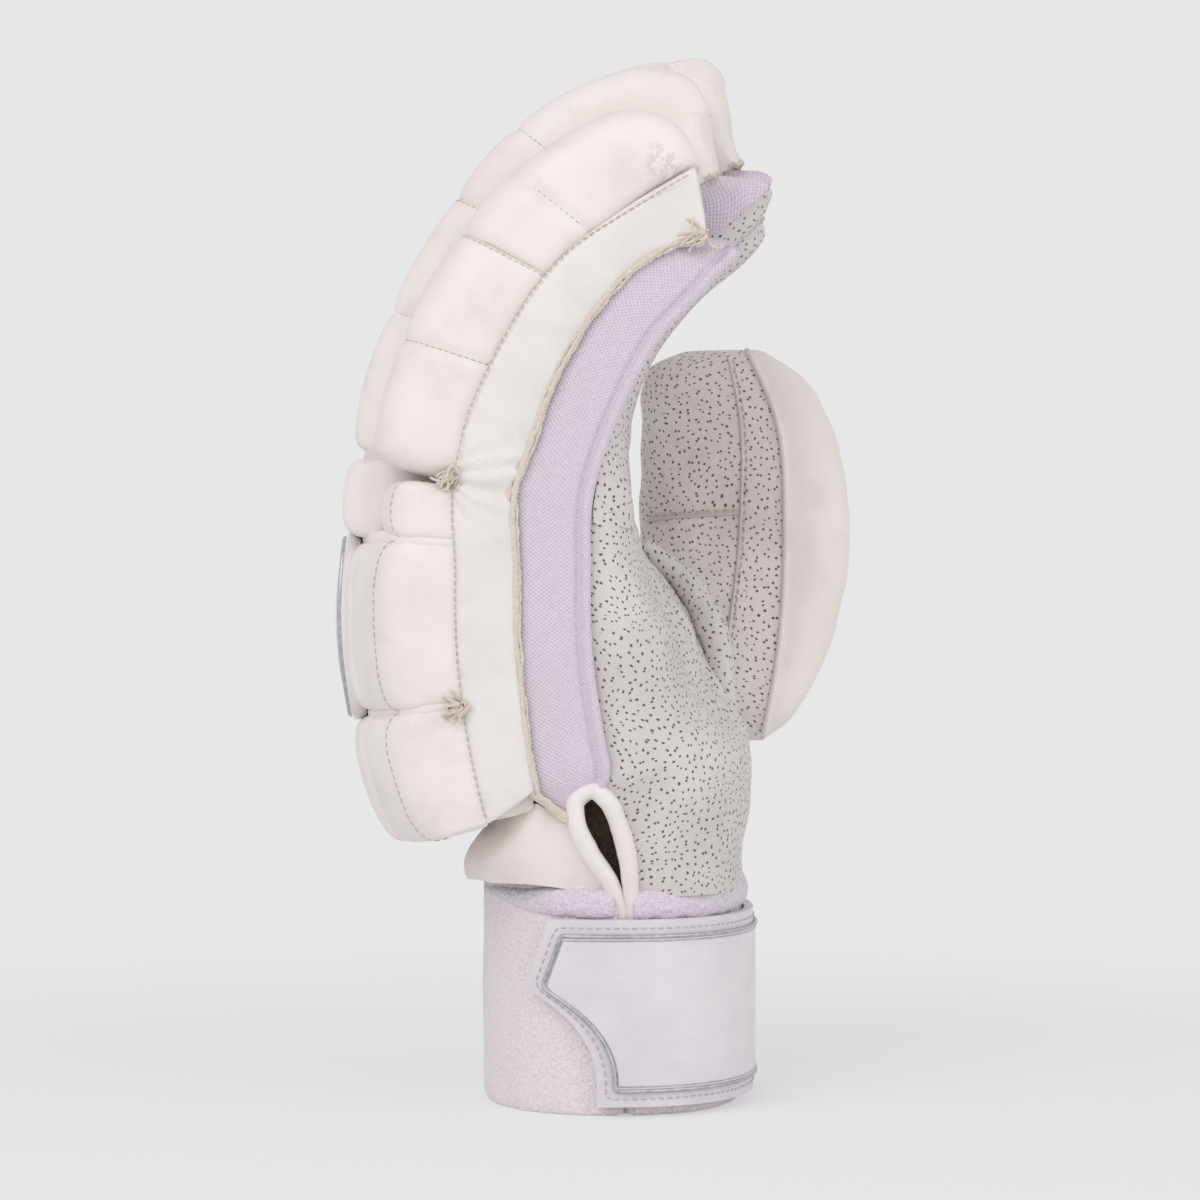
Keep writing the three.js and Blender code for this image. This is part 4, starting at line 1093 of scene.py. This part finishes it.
def palm_strip_grid(finger, start, end, tip):
    path = strip_path(start, end, tip)
    s, lifted = path[:, 0][:, None], path[:, 1][:, None]
    length = finger["length"]
    across = np.linspace(-1, 1, 28)[None]
    hang = sag(finger, s) * (1 - 0.95 * np.abs(across) ** 3) + 0.4
    place = points_at(s / 5.0, across * 1.6, finger["y"])
    turned = np.clip(lifted / 2.0, 0, 1)
    wrinkle = 0.45 * lumps(place, 41) + 0.6 * turned * lumps(place * (1, 3, 1), 42)
    narrow = 0.15 * smooth(length - 40, length - 22, s) + 0.2 * smooth(length - 10, length, s)
    half = (FINGER_HALF - 0.35) * (1 - narrow)
    ahead = s + 0.5 * wrinkle * turned - 2.0 * turned * across**2
    return on_finger(finger, ahead, finger["y"] + half * across, lifted - hang - wrinkle * (1 - turned))


for name, finger in FINGERS.items():
    split = finger["base"] / 2
    for part, start, end in (("base", -BEND_REACH, split), ("tip", split, finger["length"] - 1.0)):
        body = f"{name}_{part}"
        grid = sleeve_grid(finger, np.linspace(start, end, 60), part == "tip")
        under = f"{body}_roll"
        sleeve = sheet_piece(f"{body}_knit_sleeve", grid, FINGER_THICKNESS, KNIT)
        bend_finger(sleeve, name, part, finger["y"])
        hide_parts(f"{body}_knit")
        grid = palm_strip_grid(finger, start, end, part == "tip")
        under = f"{body}_knit_sleeve"
        label = f"{body}_palm_strip"
        strip = sheet_piece(label, grid, -FINGER_THICKNESS, PERFORATED_PAINTED_SHADE)
        bend_finger(strip, name, part, finger["y"])
        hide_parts(f"{body}_leather")

# White leather ends turned down over the fingertips, as places (ahead of the fingertip, height)
LONG_CAP = ((0.2, 28.0), (-0.9, 23.4), (-2.0, 18.6), (-3.6, 13.6), (-4.6, 9.4), (-5.0, 5.4))
TIP_CAPS = {
    "ring": (
        (-9, 24.0), (-5.6, 23.2), (-4.4, 20.6), (-5.6, 18.0), (-6.6, 15.7), (-7.4, 13.0), (-8.6, 10.0),
        (-9.8, 6.8),
    ),
    "middle": ((-6, 36.0), (-2.0, 33.6), *LONG_CAP),
    "index": ((-6, 35.0), (-2.0, 32.8), *LONG_CAP),
}
for name, profile in TIP_CAPS.items():
    finger = FINGERS[name]
    length = finger["length"]
    marks = np.linspace(0, 1, len(profile))
    share = np.linspace(0, 1, 44)[None]
    ahead, height = (curve_through(np.stack([marks, column], -1))(share) for column in np.array(profile).T)
    across = np.linspace(-1, 1, 40)[:, None]
    place = points_at(share * 5, across * 2.2, finger["y"])
    flutter = lumps(place, 15) + 0.4 * lumps(place * 2.3, 16)
    rounded = 3.4 * np.abs(across) ** 3
    front = ahead - rounded + (0.2 + 0.5 * share) * flutter
    height = height + 0.8 * share * lumps(place * (1, 2, 1), 17)
    deep = np.minimum(front - 4.0, ahead[:, :1] - 6.0 - rounded)
    back = np.minimum(mix(front - 4.0, deep, smooth(13, 20, height)), -0.8 - tip_tuck(height))
    y = finger["y"] + (FINGER_HALF - 0.1) * across
    s = length + np.concatenate([front, back[:, ::-1]], 1)
    rings = on_finger(finger, s, y, np.concatenate([height, height[:, ::-1]], 1))
    padded_piece(f"{name}_tip_cap", f"{name}_tip", loft_part(rings), ROLL_LEATHER, 0.7, "white_leather")
    strands = []
    for k in range(3):
        wander = 0.5 * lumps(points_at(9 * across[:, 0], 0.0, 5.0 * k), 18)
        edge = on_finger(finger, length + front[:, -1] - 0.8 * k, y[:, 0], height[:, -1] + wander)
        strands.append(tube_part(edge, 0.5, 7))
    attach(build(f"{name}_tip_raw_edge", strands, CREAM), f"{name}_tip")

# Stitched seam where the rolls and blocks meet the side bar
for part, start, end in side_lengths(bar_start + 1, little["length"] - 4.0):
    s = np.linspace(start, end, 160)
    path = on_finger(little, s, -HAND_HALF - 3.3, bar_top(s) + 0.1)
    bend_side(build(f"little_side_seam_{part}", stitch_parts([path], *BAR_STITCH), SEAM_THREAD), part)

# Raw cream edge between the side bar and the knit: strands (height, how far out, radius) that wander
STRANDS = ((-1.1, 0.1, 0.5), (-0.35, 0.55, 0.6), (0.4, 0.6, 0.55), (1.1, 0.35, 0.5))
for part, start, end in side_lengths(bar_start - 5.0, little["length"] - 7.5):
    s = np.linspace(start, end, 220)
    parts = []
    for k, (height, proud, radius) in enumerate(STRANDS):
        here = points_at(s, 0.0, 9.0 * k)
        wander = 0.35 * lumps(here, 23, 4.0) + 0.2 * lumps(here, 24, 1.6)
        y = tuck_in(s) - HAND_HALF - 1.7 - proud - 0.2 * wander
        v = knit_top(s) - 0.3 + 0.85 * height + 0.8 * wander
        rough = radius * (1 + 0.3 * lumps(here, 25, 1.1))
        parts.append(tube_part(on_finger(little, s, y, v), rough, 8))
    edge = build(f"little_raw_edge_{part}", parts, CREAM)
    bend_side(edge, part)


def tuft_parts(centre, seed, strands=16, reach=5.0):
    """A knot of loose, curling thread ends."""
    random = np.random.default_rng(seed)
    share = np.linspace(0, 1, 12)[:, None]
    parts = []
    for _ in range(strands):
        root = centre + random.normal(size=3) * (0.9, 0.4, 0.9)
        heading = np.array([-0.8, 0.0, -0.45]) + random.normal(size=3) * (0.5, 0.25, 0.5)
        heading = heading / np.linalg.norm(heading) * random.uniform(0.6, 1.1)
        curl = random.normal(size=3) * (0.9, 0.6, 0.9)
        run = root + heading * reach * share + curl * np.sin(np.pi * share)
        parts.append(tube_part(run, 0.4 * np.linspace(1, 0.75, 12), 7))
    return parts


for label, body, place, seed in (
    ("knuckle", "hand", on_finger(little, -2.0, -53.4, 33.6), 3),
    ("wrist", "hand", on_hand(BACK_FROM, -53.4, 33.6), 5),
    ("tip", "little_tip", on_finger(little, little["length"] - 9.0, -51.6, 5.0), 8),
):
    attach(build(f"thread_ends_{label}", tuft_parts(place, seed), CREAM), body)


# Piping round the slit on the little-finger side, through places (x, z, how far it stands out)
PIPING_RADIUS = 2.3
PIPING_TOP = 79.6
slit_edge = (SLIT_X + SLIT_WIDTH / 2 - CUFF_CENTRE_X) / CUFF_HALF_DEPTH
cuff_face = CUFF_HALF_WIDTH * (1 - slit_edge**CUFF_FULLNESS) ** (1 / CUFF_FULLNESS)
piping_y = PIPING_RADIUS + 0.4 - cuff_face
x, z, out = curve_path([
    (3.2, 0.4, 0), (3.2, 26.0, 0), (3.1, 46.0, 0.8), (2.4, 55.0, 3.0),
    (1.6, 63.0, 4.4), (-0.6, 71.2, 5.0), (-3.4, 77.0, 6.0), (-7.2, PIPING_TOP, 6.0),
    (-10.8, 77.4, 6.0), (-11.0, 72.8, 6.0), (-7.6, 64.4, 4.4), (-2.5, 56.6, 3.0),
    (0.2, 49.3, 1.2), (-0.6, 42.0, 0.3), (-1.2, 26.0, 0), (-1.2, 0.4, 0),
], 220).T
slit_path = points_at(x, piping_y - out, z)
gathered = 0.08 * lumps(slit_path, 71, 1.6) + 0.12 * lumps(slit_path, 72, 4.0)
waist = 0.5 * bell(z - 50.0, 6.0)
piping = build("slit_piping", [tube_part(slit_path, PIPING_RADIUS - waist + gathered, 20)], PIPING_LEATHER)
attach(piping, "hand")
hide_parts("slit_binding")
slit_head = int(z.argmax())
palm_leg, back_leg = slit_path[: slit_head + 1], slit_path[slit_head:][::-1]


def meet_slit(grid, leg):
    """Draws the first columns of a grid up to one leg of the slit's piping."""
    z = grid[:, :1, 2]
    x = np.interp(z, leg[:, 2], leg[:, 0])
    y = np.interp(z, leg[:, 2], leg[:, 1]) + 0.8
    pull = points_at(x - grid[:, :1, 0], y - grid[:, :1, 1], 0.0)
    share = smooth(PIPING_TOP + 3, PIPING_TOP - 4, z)[..., None]
    columns = np.arange(grid.shape[1])[None, :, None]
    return grid + pull * share * bell(columns, 14.0)


# A brown lining sheet behind the slit, painted as dark as the shade inside it.
z = np.linspace(1.0, PIPING_TOP - 1.0, 40)[:, None]
across = np.linspace(-1, 1, 12)[None]
above = smooth(CUFF_HEIGHT - 6, PIPING_TOP, z)
grid = points_at(SLIT_X - 8.0 * above + 5.6 * across, piping_y - 1.6 * above + 3.2 + 1.5 * across**2, z)
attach(sheet_piece("slit_lining_painted_shade", grid, -1.0, LINING_PAINTED_SHADE), "hand")

# Palm leather and wrist leather, which meet at the slit
PALM_HALF = HAND_HALF - 1.0
palm_bulge = curve_through([
    (-125, 27), (-109, 28), (-101, 30.6), (-89, 35.6), (-74, 39.6), (-65, 37.6), (-54, 33.6), (-30, 27),
    (-11, 16), (1, 12.4), (8, 10.5),
])
wrist_depth = curve_through([
    (-115, 19), (-100, 23.6), (-94, 28.4), (-87.6, 31.4), (-83, 30), (-79, 25.8), (-75, 20), (-72, 16),
])

# Lengthwise ridges and furrows of the palm: (middle across the hand, width, height)
PALM_RIDGES = ((-15.5, 2.8, 2.6), (-9.0, 2.6, -4.6), (-3.0, 2.4, 1.6), (2.0, 2.0, -2.0), (7.0, 4.0, 2.4))


def half_ring(fullness):
    """Half a rounded section: places across it from -1 to 1, and the share of its depth at each."""
    turn = np.linspace(0, np.pi, 170)[None]
    return -signed_power(np.cos(turn), 2 / fullness), np.sin(turn) ** (2 / fullness)


def above_cuff(v, level):
    """How far down a straight line of the wrist, at height v, a level is met."""
    lean = math.radians(WRIST_LEAN)
    return -HAND_LENGTH + (level - WRIST_CREASE[1] - (v - BEND_HEIGHT) * math.sin(lean)) / math.cos(lean)


def rows_from_cuff(level, upper, rows, y, height, guess):
    """Rows of s from a level at the cuff to an upper line, and the heights v that belong to them."""
    share = np.linspace(0, 1, rows)[:, None]
    s = mix(guess, upper, share)
    for _ in range(6):
        v = height(s)
        s = mix(above_cuff(v + arch(y), level)[:1], upper, share)
    return s, v


across, depth = half_ring(2.4)
y = PALM_HALF * across
flank = 4.0 * (1 - depth) ** 6
s, v = rows_from_cuff(
    CUFF_HEIGHT + 0.6, rise(y) - 3.0, 110, y, lambda s: flank - palm_bulge(s) * depth, guess=-104.0
)
place = points_at(s / 9.0, across * 5, depth * 5)
folds = lumps(place, 51) + 0.5 * lumps(place * 2.3, 52)
ridges = -4.0 * smooth(-9, -17, y)
for centre, width, height in PALM_RIDGES:
    drift = 4.0 * lumps(points_at(s / 14.0, 0.0, centre), 53)
    ridges = ridges + height * bell(y - centre - drift, width)
ridges = ridges * (smooth(-80, -62, s) * smooth(-10, -28, s))
narrow = 1 - 0.1 * smooth(-70, -98, s)
grid = meet_slit(on_hand(s, y * narrow, v - (0.7 * folds + ridges) * depth), palm_leg)
palm = sheet_piece("palm_shell", grid, -HAND_THICKNESS, PERFORATED_PAINTED_SHADE)
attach(palm, "hand")
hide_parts("palm_leather")

# A fold of the palm leather at the root of the thumb, thickest in its middle
path = curve_path([
    (6.4, 12, 140.0), (10.2, 12, 136.2), (15.8, 12, 131.4), (20.8, 11, 124.6), (24.6, 10, 115.6),
    (26.6, 9, 104.4), (29.0, 8, 95.0),
], 60)
thick = 1.2 + 2.9 * np.sin(np.pi * np.linspace(0.02, 0.98, 60)) ** 0.7 + 0.35 * lumps(path, 54, 5.0)
padded_piece("palm_fold", "hand", tube_part(path, thick, 24), PERFORATED_PAINTED_SHADE, 0.3, "palm_leather")

across, depth = half_ring(3.2)
y = PALM_HALF * across
near_slit = smooth(0.6, 0.2, depth) * (y < 0)
flank = mix(SLIT_WIDTH, 0.6, 0.5 + y / (2 * HAND_HALF))
s, v = rows_from_cuff(
    CUFF_HEIGHT + 3.4 - 1.4 * near_slit,
    -73.5 - 3.0 * near_slit,
    60,
    y,
    lambda s: flank + wrist_depth(s) * depth,
    guess=-112.0,
)
place = points_at(s / 16.0, across * 6, depth * 5)
folds = lumps(place, 61) + 0.5 * lumps(place * (1.6, 2.3, 2.3), 62)
narrow = 1.045 - 0.06 * near_slit - 0.125 * smooth(-76, -96, s)
grid = meet_slit(on_hand(s, y * narrow, v + 1.1 * folds * depth), back_leg)
wrist = sheet_piece(
    "wrist_back_sheet", grid, HAND_THICKNESS, WRIST_LEATHER
)
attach(wrist, "hand")
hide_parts("wrist_back")

# Cuff of towelling, open at the slit
slit_angles = []
for edge in (SLIT_X - 1.9, SLIT_X + 2.4):
    share = (edge - CUFF_CENTRE_X) / CUFF_HALF_DEPTH
    slit_angles.append(-math.degrees(math.acos(signed_power(share, CUFF_FULLNESS / 2))))
angles = np.linspace(slit_angles[1], slit_angles[0] + 360.0, 420)[:, None]
section = circle(150)[None]
out = -CUFF_WALL / 2 + CUFF_WALL / 2 * signed_power(np.cos(section), 0.35)
z = CUFF_HEIGHT / 2 + CUFF_HEIGHT / 2 * signed_power(np.sin(section), 0.16)
surface = cuff_point(angles, out, z)
loops = 0.22 * lumps(surface, 81, 1.1) + 0.25 * lumps(surface, 82, 5.0)
raised = CUFF_BACK_RISE * smooth(0.35, -0.35, np.cos(np.radians(angles))) * z / CUFF_HEIGHT
out = out + loops * np.sign(np.cos(section)) - 0.3
rings = domed(cuff_point(angles, out, z + raised + (0.2 * loops - 0.4) * (z > 50)), bulge=0.2)
padded_piece("cuff_towelling", "hand", loft_part(rings), TERRY, 0.5, "terry", "cuff_band")

# Rolled towelling rims where the palm leather and the wrist leather go into the cuff
RIM_OUT, RIM_HALF_WIDTH, RIM_HALF_HEIGHT = -0.9, 2.4, 3.8
section = circle(40)[None]
for name, start, stop, levels, settled, thin_end, taper in (
    ("cuff_rim", -83.0, 100.0, (51.0, 53.0), (-77.0, 30.0), 100.0, 18.0),
    ("cuff_rim_back", -168.0, -90.0, (53.0, 51.6), (-168.0, -90.0), -168.0, 70.0),
):
    angles = np.linspace(start, stop, round(1.1 * (stop - start)))[:, None]
    level = mix(*levels, smooth(*settled, angles))
    thin = 0.35 + 0.65 * smooth(0, taper, np.abs(thin_end - angles))
    cosine, sine = np.cos(section), np.sin(section)
    surface = cuff_point(angles, RIM_OUT + RIM_HALF_WIDTH * cosine, level + RIM_HALF_HEIGHT * sine)
    loops = 0.25 * lumps(surface, 84, 1.2) + 0.4 * lumps(surface, 85, 6.0)
    out = RIM_OUT + (RIM_HALF_WIDTH + loops) * thin * cosine
    rings = cuff_point(angles, out, level + (RIM_HALF_HEIGHT + loops) * thin * sine)
    padded_piece(name, "hand", loft_part(domed(rings, bulge=0.5)), TERRY_RIM, 0.5, "terry")


# Strap: rows up its height, columns along it, from the sewn end to its shaped free end
STRAP_OUTER = 3.3
STRAP_THICKNESS, PANEL_THICKNESS, HOOK_THICKNESS = 2.2, 0.7, 0.55
PANEL_INSET, PANEL_MARGIN = 4.6, 4.0
STITCH_INSET, STITCH_MARGIN = 2.3, 2.0
SEWN_ANGLE, ANCHOR_ANGLE, MID_ANGLE, FOLD_ANGLE, END_ANGLE = 95.0, 112.0, 28.0, -38.0, -150.0
strap_angles = np.linspace(ANCHOR_ANGLE, END_ANGLE, 1200)
strap_line = cuff_point(strap_angles, STRAP_OUTER, 0.0)
strap_run = path_length(strap_line, 0)
free_side = np.flatnonzero(strap_angles < -40)
free_side = free_side[np.argsort(strap_line[free_side, 0])]

# How far towards the palm the shaped free end reaches, by height
tab_edge = curve_through([
    (2.6, -6.0), (8.0, -6.0), (11.0, -6.2), (15.0, -7.2), (19.0, -9.2), (23.0, -12.4), (26.5, -16.4),
    (29.5, -20.8), (31.2, -23.2), (32.2, -23.4), (34.0, -22.7), (41.0, -20.2), (48.0, -17.7),
])


def run_at(angle):
    return float(np.interp(-angle, -strap_angles, strap_run))


def on_strap(run, out, z):
    return cuff_point(np.interp(run, strap_run, strap_angles), out, z)


FOLD_RUN, SEWN_RUN, MID_RUN = run_at(FOLD_ANGLE), run_at(SEWN_ANGLE), run_at(MID_ANGLE)
SEWN_HINGE = (SEWN_RUN - 5, SEWN_RUN + 9)
FOLD_HINGE = (FOLD_RUN - 7, FOLD_RUN + 7)


def strap_grid(free, start, inset, margin, out, columns, rows):
    """A length of strap from start to its middle, or else to its free end, less an inset and a margin."""
    z = np.linspace(STRAP_LOW + margin, STRAP_HIGH - margin, rows)[None]
    end = MID_RUN
    if free:
        end = np.interp(tab_edge(z) + inset, strap_line[free_side, 0], strap_run[free_side])
    return on_strap(mix(start, end, np.linspace(0, 1, columns)[:, None]), out, z)


def strap_edges(grid, free):
    """Lines along the two long edges of a grid, joined round the free end."""
    low, high = grid[:, 0], grid[:, -1]
    return [np.concatenate([low, grid[-1, 1:], high[-2::-1]])] if free else [low, high]


for label, start, panel_start, columns, first, second, hinge, nodes in (
    ("sewn", 0.0, 6.0, 60, "hand", "strap_band", SEWN_HINGE, ("strap_anchor", "strap_band")),
    ("free", MID_RUN, MID_RUN, 130, "strap_band", "strap_tab", FOLD_HINGE, ("strap_tab",)),
):
    free = label == "free"
    grid = strap_grid(free, start, 0.0, 0.0, STRAP_OUTER - 0.4, columns, 40)
    band = sheet_piece(f"strap_{label}_length", grid, -STRAP_THICKNESS, STRAP)
    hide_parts(*nodes)
    grid = strap_grid(free, panel_start, PANEL_INSET, PANEL_MARGIN, STRAP_OUTER + 0.2, columns, 36)
    under = f"strap_{label}_length"
    panel = sheet_piece(f"strap_{label}_panel", grid, -PANEL_THICKNESS, PANEL)
    inner = grid[: -1 if free else None, 1:-1] + (0, -0.05, 0)
    inner_lines = [inner[:, 0], inner[:, -1]] + ([inner[-1]] if free else [])
    parts = [tube_part(resample(line, 1.0), 0.52, 8) for line in strap_edges(grid, free)]
    parts += [tube_part(resample(line, 1.0), 0.16, 6) for line in inner_lines]
    trim = build(f"strap_{label}_line", parts, SILVER)
    grid = strap_grid(free, start + 1.0, STITCH_INSET, STITCH_MARGIN, STRAP_OUTER - 0.3, columns, 30)
    parts = stitch_parts(strap_edges(grid, free), *STRAP_STITCH)
    threads = build(f"strap_{label}_stitches", parts, STRAP_THREAD)
    for piece in (band, panel, trim, threads):
        between(piece, first, second, *on_strap(np.array(hinge), STRAP_OUTER, 20.0))

run = mix(run_at(FOLD_ANGLE - 22), run_at(FOLD_ANGLE - 52), np.linspace(0, 1, 30)[:, None])
grid = on_strap(run, 0.68, np.linspace(STRAP_LOW + 5, STRAP_HIGH - 5, 20)[None])
hooks = sheet_piece("hook_tape", grid, -HOOK_THICKNESS, HOOKS)
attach(hooks, "strap_tab")
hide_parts("hook_patch")

# Thumb: perforated stall in front, white padded crescent behind, with a piped seam
THUMB_LOW, THUMB_HIGH = -15.0, 91.0
THUMB_FULLNESS = 2.6
THUMB_TIP_RADIUS, THUMB_ROOT_RADIUS = 26.0, 14.0
thumb_front = curve_through([
    (-15, 10), (0, -7), (20, -12), (55, -12), (72, -12), (82, -11), (88, -7.5), (91, -1),
])
thumb_seam = curve_through([(-15, 21), (0, 24), (40, 27), (70, 25), (91, 17)])
thumb_back = curve_through([
    (-15, 22), (-11, 27.5), (-4, 32.8), (5, 37.4), (18, 42.0), (42, 45.3), (60, 43.4), (74, 38.8),
    (84, 32.2), (91, 22),
])
stall_seam = curve_through([(-8, 9), (0, 10), (45, 15), (70, 15), (88, 12)])


def thumb_thickness(w):
    to_tip = np.clip((THUMB_HIGH - w) / THUMB_TIP_RADIUS, 0, 1)
    to_root = np.clip((w - THUMB_LOW) / THUMB_ROOT_RADIUS, 0, 1)
    share = np.sqrt(1 - (1 - to_tip) ** 2) * 0.65 + 0.35
    return THUMB_HALF * share * (0.6 + 0.4 * np.sqrt(1 - (1 - to_root) ** 2))


def on_thumb(a, b, w):
    """Points of the thumb, a out of the palm, b across it and w along it from its pivot."""
    cosine, sine = math.cos(math.radians(THUMB_TILT)), math.sin(math.radians(THUMB_TILT))
    y = THUMB_OFFSET + b * cosine + w * sine
    return points_at(THUMB_PIVOT[0] + a, y, THUMB_PIVOT[1] + w * cosine - b * sine)


def thumb_rings(reach_curve, seed, shift):
    """Rings round one half of the thumb, from its seam out to a curve and flat along the seam."""
    w = mix(THUMB_LOW, THUMB_HIGH, (1 - np.cos(np.linspace(0, np.pi, 70))) / 2)[:, None]
    turn = np.linspace(0, np.pi, 52)[None]
    seam, reach, half = thumb_seam(w) + shift, reach_curve(w), thumb_thickness(w)
    flat = np.linspace(-1, 1, 10)[None, 1:-1]
    out = np.concatenate([np.sin(turn) ** (2 / THUMB_FULLNESS), np.zeros_like(flat)], 1)
    a = seam + (reach - seam) * out
    b = half * np.concatenate([signed_power(np.cos(turn), 2 / THUMB_FULLNESS), flat], 1)
    place = points_at(a / 10.0, b / 10.0, w / 10.0)
    grow = 1 + 0.022 * (lumps(place, seed) + 0.5 * lumps(place * 2.2, seed + 1))
    return on_thumb(seam + (a - seam) * grow, b * grow, w)


def thumb_face(a, w):
    """A place just off the little-finger side of the thumb's front leather."""
    seam = thumb_seam(w)
    sine = np.clip((a - seam) / (thumb_front(w) - seam), 0, 0.999) ** (THUMB_FULLNESS / 2)
    return on_thumb(a, -thumb_thickness(w) * np.sqrt(1 - sine**2) ** (2 / THUMB_FULLNESS) - 0.1, w)


for name, reach, seed, shift, leather, fill, slot, nodes in (
    ("thumb_stall_leather", thumb_front, 91, 0.0, PERFORATED_PAINTED_LIGHT, 0.3, "palm_leather", ("thumb_stall",)),
    ("thumb_pad", thumb_back, 95, 0.3, ROLL_LEATHER, 0.9, "white_leather", ("thumb_cover", "thumb_foam")),
):
    rings = domed(thumb_rings(reach, seed, shift), bulge=0.4)
    padded_piece(name, "thumb", loft_part(rings), leather, fill, slot, *nodes)

w = np.linspace(THUMB_LOW + 1, THUMB_HIGH - 0.5, 70)
near, far = (on_thumb(thumb_seam(w), side * (thumb_thickness(w) + 0.2), w) for side in (-1, 1))
path = resample(np.concatenate([near, far[::-1]]), 1.5)
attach(build("thumb_piping", [tube_part(path, 0.95, 10, closed=True)], BAR_LEATHER), "thumb")

w = np.linspace(88.0, -8.0, 60)
upright = thumb_face(stall_seam(w), w)
a = np.linspace(-10.5, 14.5, 24)
level = thumb_face(a, 43.8 + 0.04 * (a + 10.5))
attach(build("thumb_seams", [tube_part(line, 0.5, 8) for line in (upright, level)], PALM_WELT), "thumb")
parts = stitch_parts([upright + (1.1, -0.25, 0), level + (0, -0.25, 1.1)], *THUMB_STITCH)
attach(build("thumb_stitches", parts, SEAM_THREAD), "thumb")

# Web of soft leather from the palm to the root of the thumb
rings = []
out, up = squared_off(circle(64), THUMB_FULLNESS)
for share in np.linspace(0, 1, 24):
    eased = float(smooth(0, 1, share))
    a = mix(-12.0, 1.5, eased) + mix(10.0, 13.5, share) * out
    w = mix(-6.0, 0.0, eased) + mix(17.0, 17.5, share) * up
    skin = on_thumb(a - 3.0 - 0.3 * w, -THUMB_HALF + mix(-18.0, 2.5, share), w)
    wrinkles = lumps(skin / (6.0, 2.5, 9.0), 99)[:, None]
    rings.append(skin + (skin - skin.mean(0)) * 0.05 * wrinkles)
web = build("thumb_web_leather", [loft_part(rings)], PERFORATED_PAINTED_SHADE)
between(web, "hand", "thumb", on_thumb(0, -THUMB_HALF - 10, 0), on_thumb(0, -THUMB_HALF - 1, 0))
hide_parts("thumb_web")

# Floor, which fades into the backdrop away from the glove
BACKDROP = "E7E7E7"
FLOOR_REACH = 4.0
cloth = Finish("floor", 0.9)
cloth.set("Base Color", (0.86, 0.86, 0.86, 1))
cloth.set("Emission Color", (1, 1, 1, 1))
cloth.set("Emission Strength", 0.06)
away = cloth.vector("LENGTH", cloth.object)
fade = cloth.times(cloth.ranged(away, 0.12, 0.42, 0.55, 1.0), cloth.seen())
glow = cloth.node("ShaderNodeEmission", {"Color": BACKDROP}).outputs[0]
mixed = cloth.node("ShaderNodeMixShader", {0: fade, 1: cloth.shader.outputs[0], 2: glow}).outputs[0]
cloth.put(cloth.tree.nodes["Material Output"].inputs["Surface"], mixed)
floor_mesh = bpy.data.meshes.new("floor")
corners = [(x * FLOOR_REACH, y * FLOOR_REACH, 0) for x, y in ((-1, -1), (1, -1), (1, 1), (-1, 1))]
floor_mesh.from_pydata(corners, [], [(0, 1, 2, 3)])
floor_mesh.materials.append(cloth.material)
floor = bpy.data.objects.new("floor", floor_mesh)
scene.collection.objects.link(floor)

# Soft light: an even sky, with a plain backdrop where it is seen, and two large lamps
scene.world = bpy.data.worlds.new("studio")
scene.world.use_nodes = True
sky = Wiring(scene.world.node_tree)
ambient = sky.tree.nodes["Background"]
sky.put(ambient.inputs["Color"], (1.0, 0.99, 0.985, 1))
sky.put(ambient.inputs["Strength"], 0.56)
backdrop = sky.node("ShaderNodeBackground", {"Color": BACKDROP}).outputs[0]
mixed = sky.node("ShaderNodeMixShader", {0: sky.seen(), 1: ambient.outputs[0], 2: backdrop}).outputs[0]
sky.put(sky.tree.nodes["World Output"].inputs["Surface"], mixed)

for name, place, target, size, power in (
    ("key", (-0.7, -1.0, 0.95), (0, 0, 0.13), 1.1, 7.4),
    ("fill", (0.95, -0.8, 0.5), (0, 0, 0.12), 1.2, 4.6),
):
    lamp = bpy.data.lights.new(name, "AREA")
    lamp.size = size
    lamp.energy = power
    holder = bpy.data.objects.new(name, lamp)
    holder.location = place
    holder.rotation_euler = (Vector(target) - Vector(place)).to_track_quat("-Z", "Y").to_euler()
    scene.collection.objects.link(holder)

# Camera, square on to the little-finger side
CAMERA_PLACE = (-5.1, -930.0, 125.6)
camera_data = bpy.data.cameras.new("camera")
camera_data.sensor_width = 36.0
camera_data.lens = 109.2
camera = bpy.data.objects.new("camera", camera_data)
camera.location = in_model(CAMERA_PLACE)
camera.rotation_euler = (math.radians(90), 0, 0)
scene.collection.objects.link(camera)
scene.camera = camera
scene.view_settings.view_transform = "Standard"
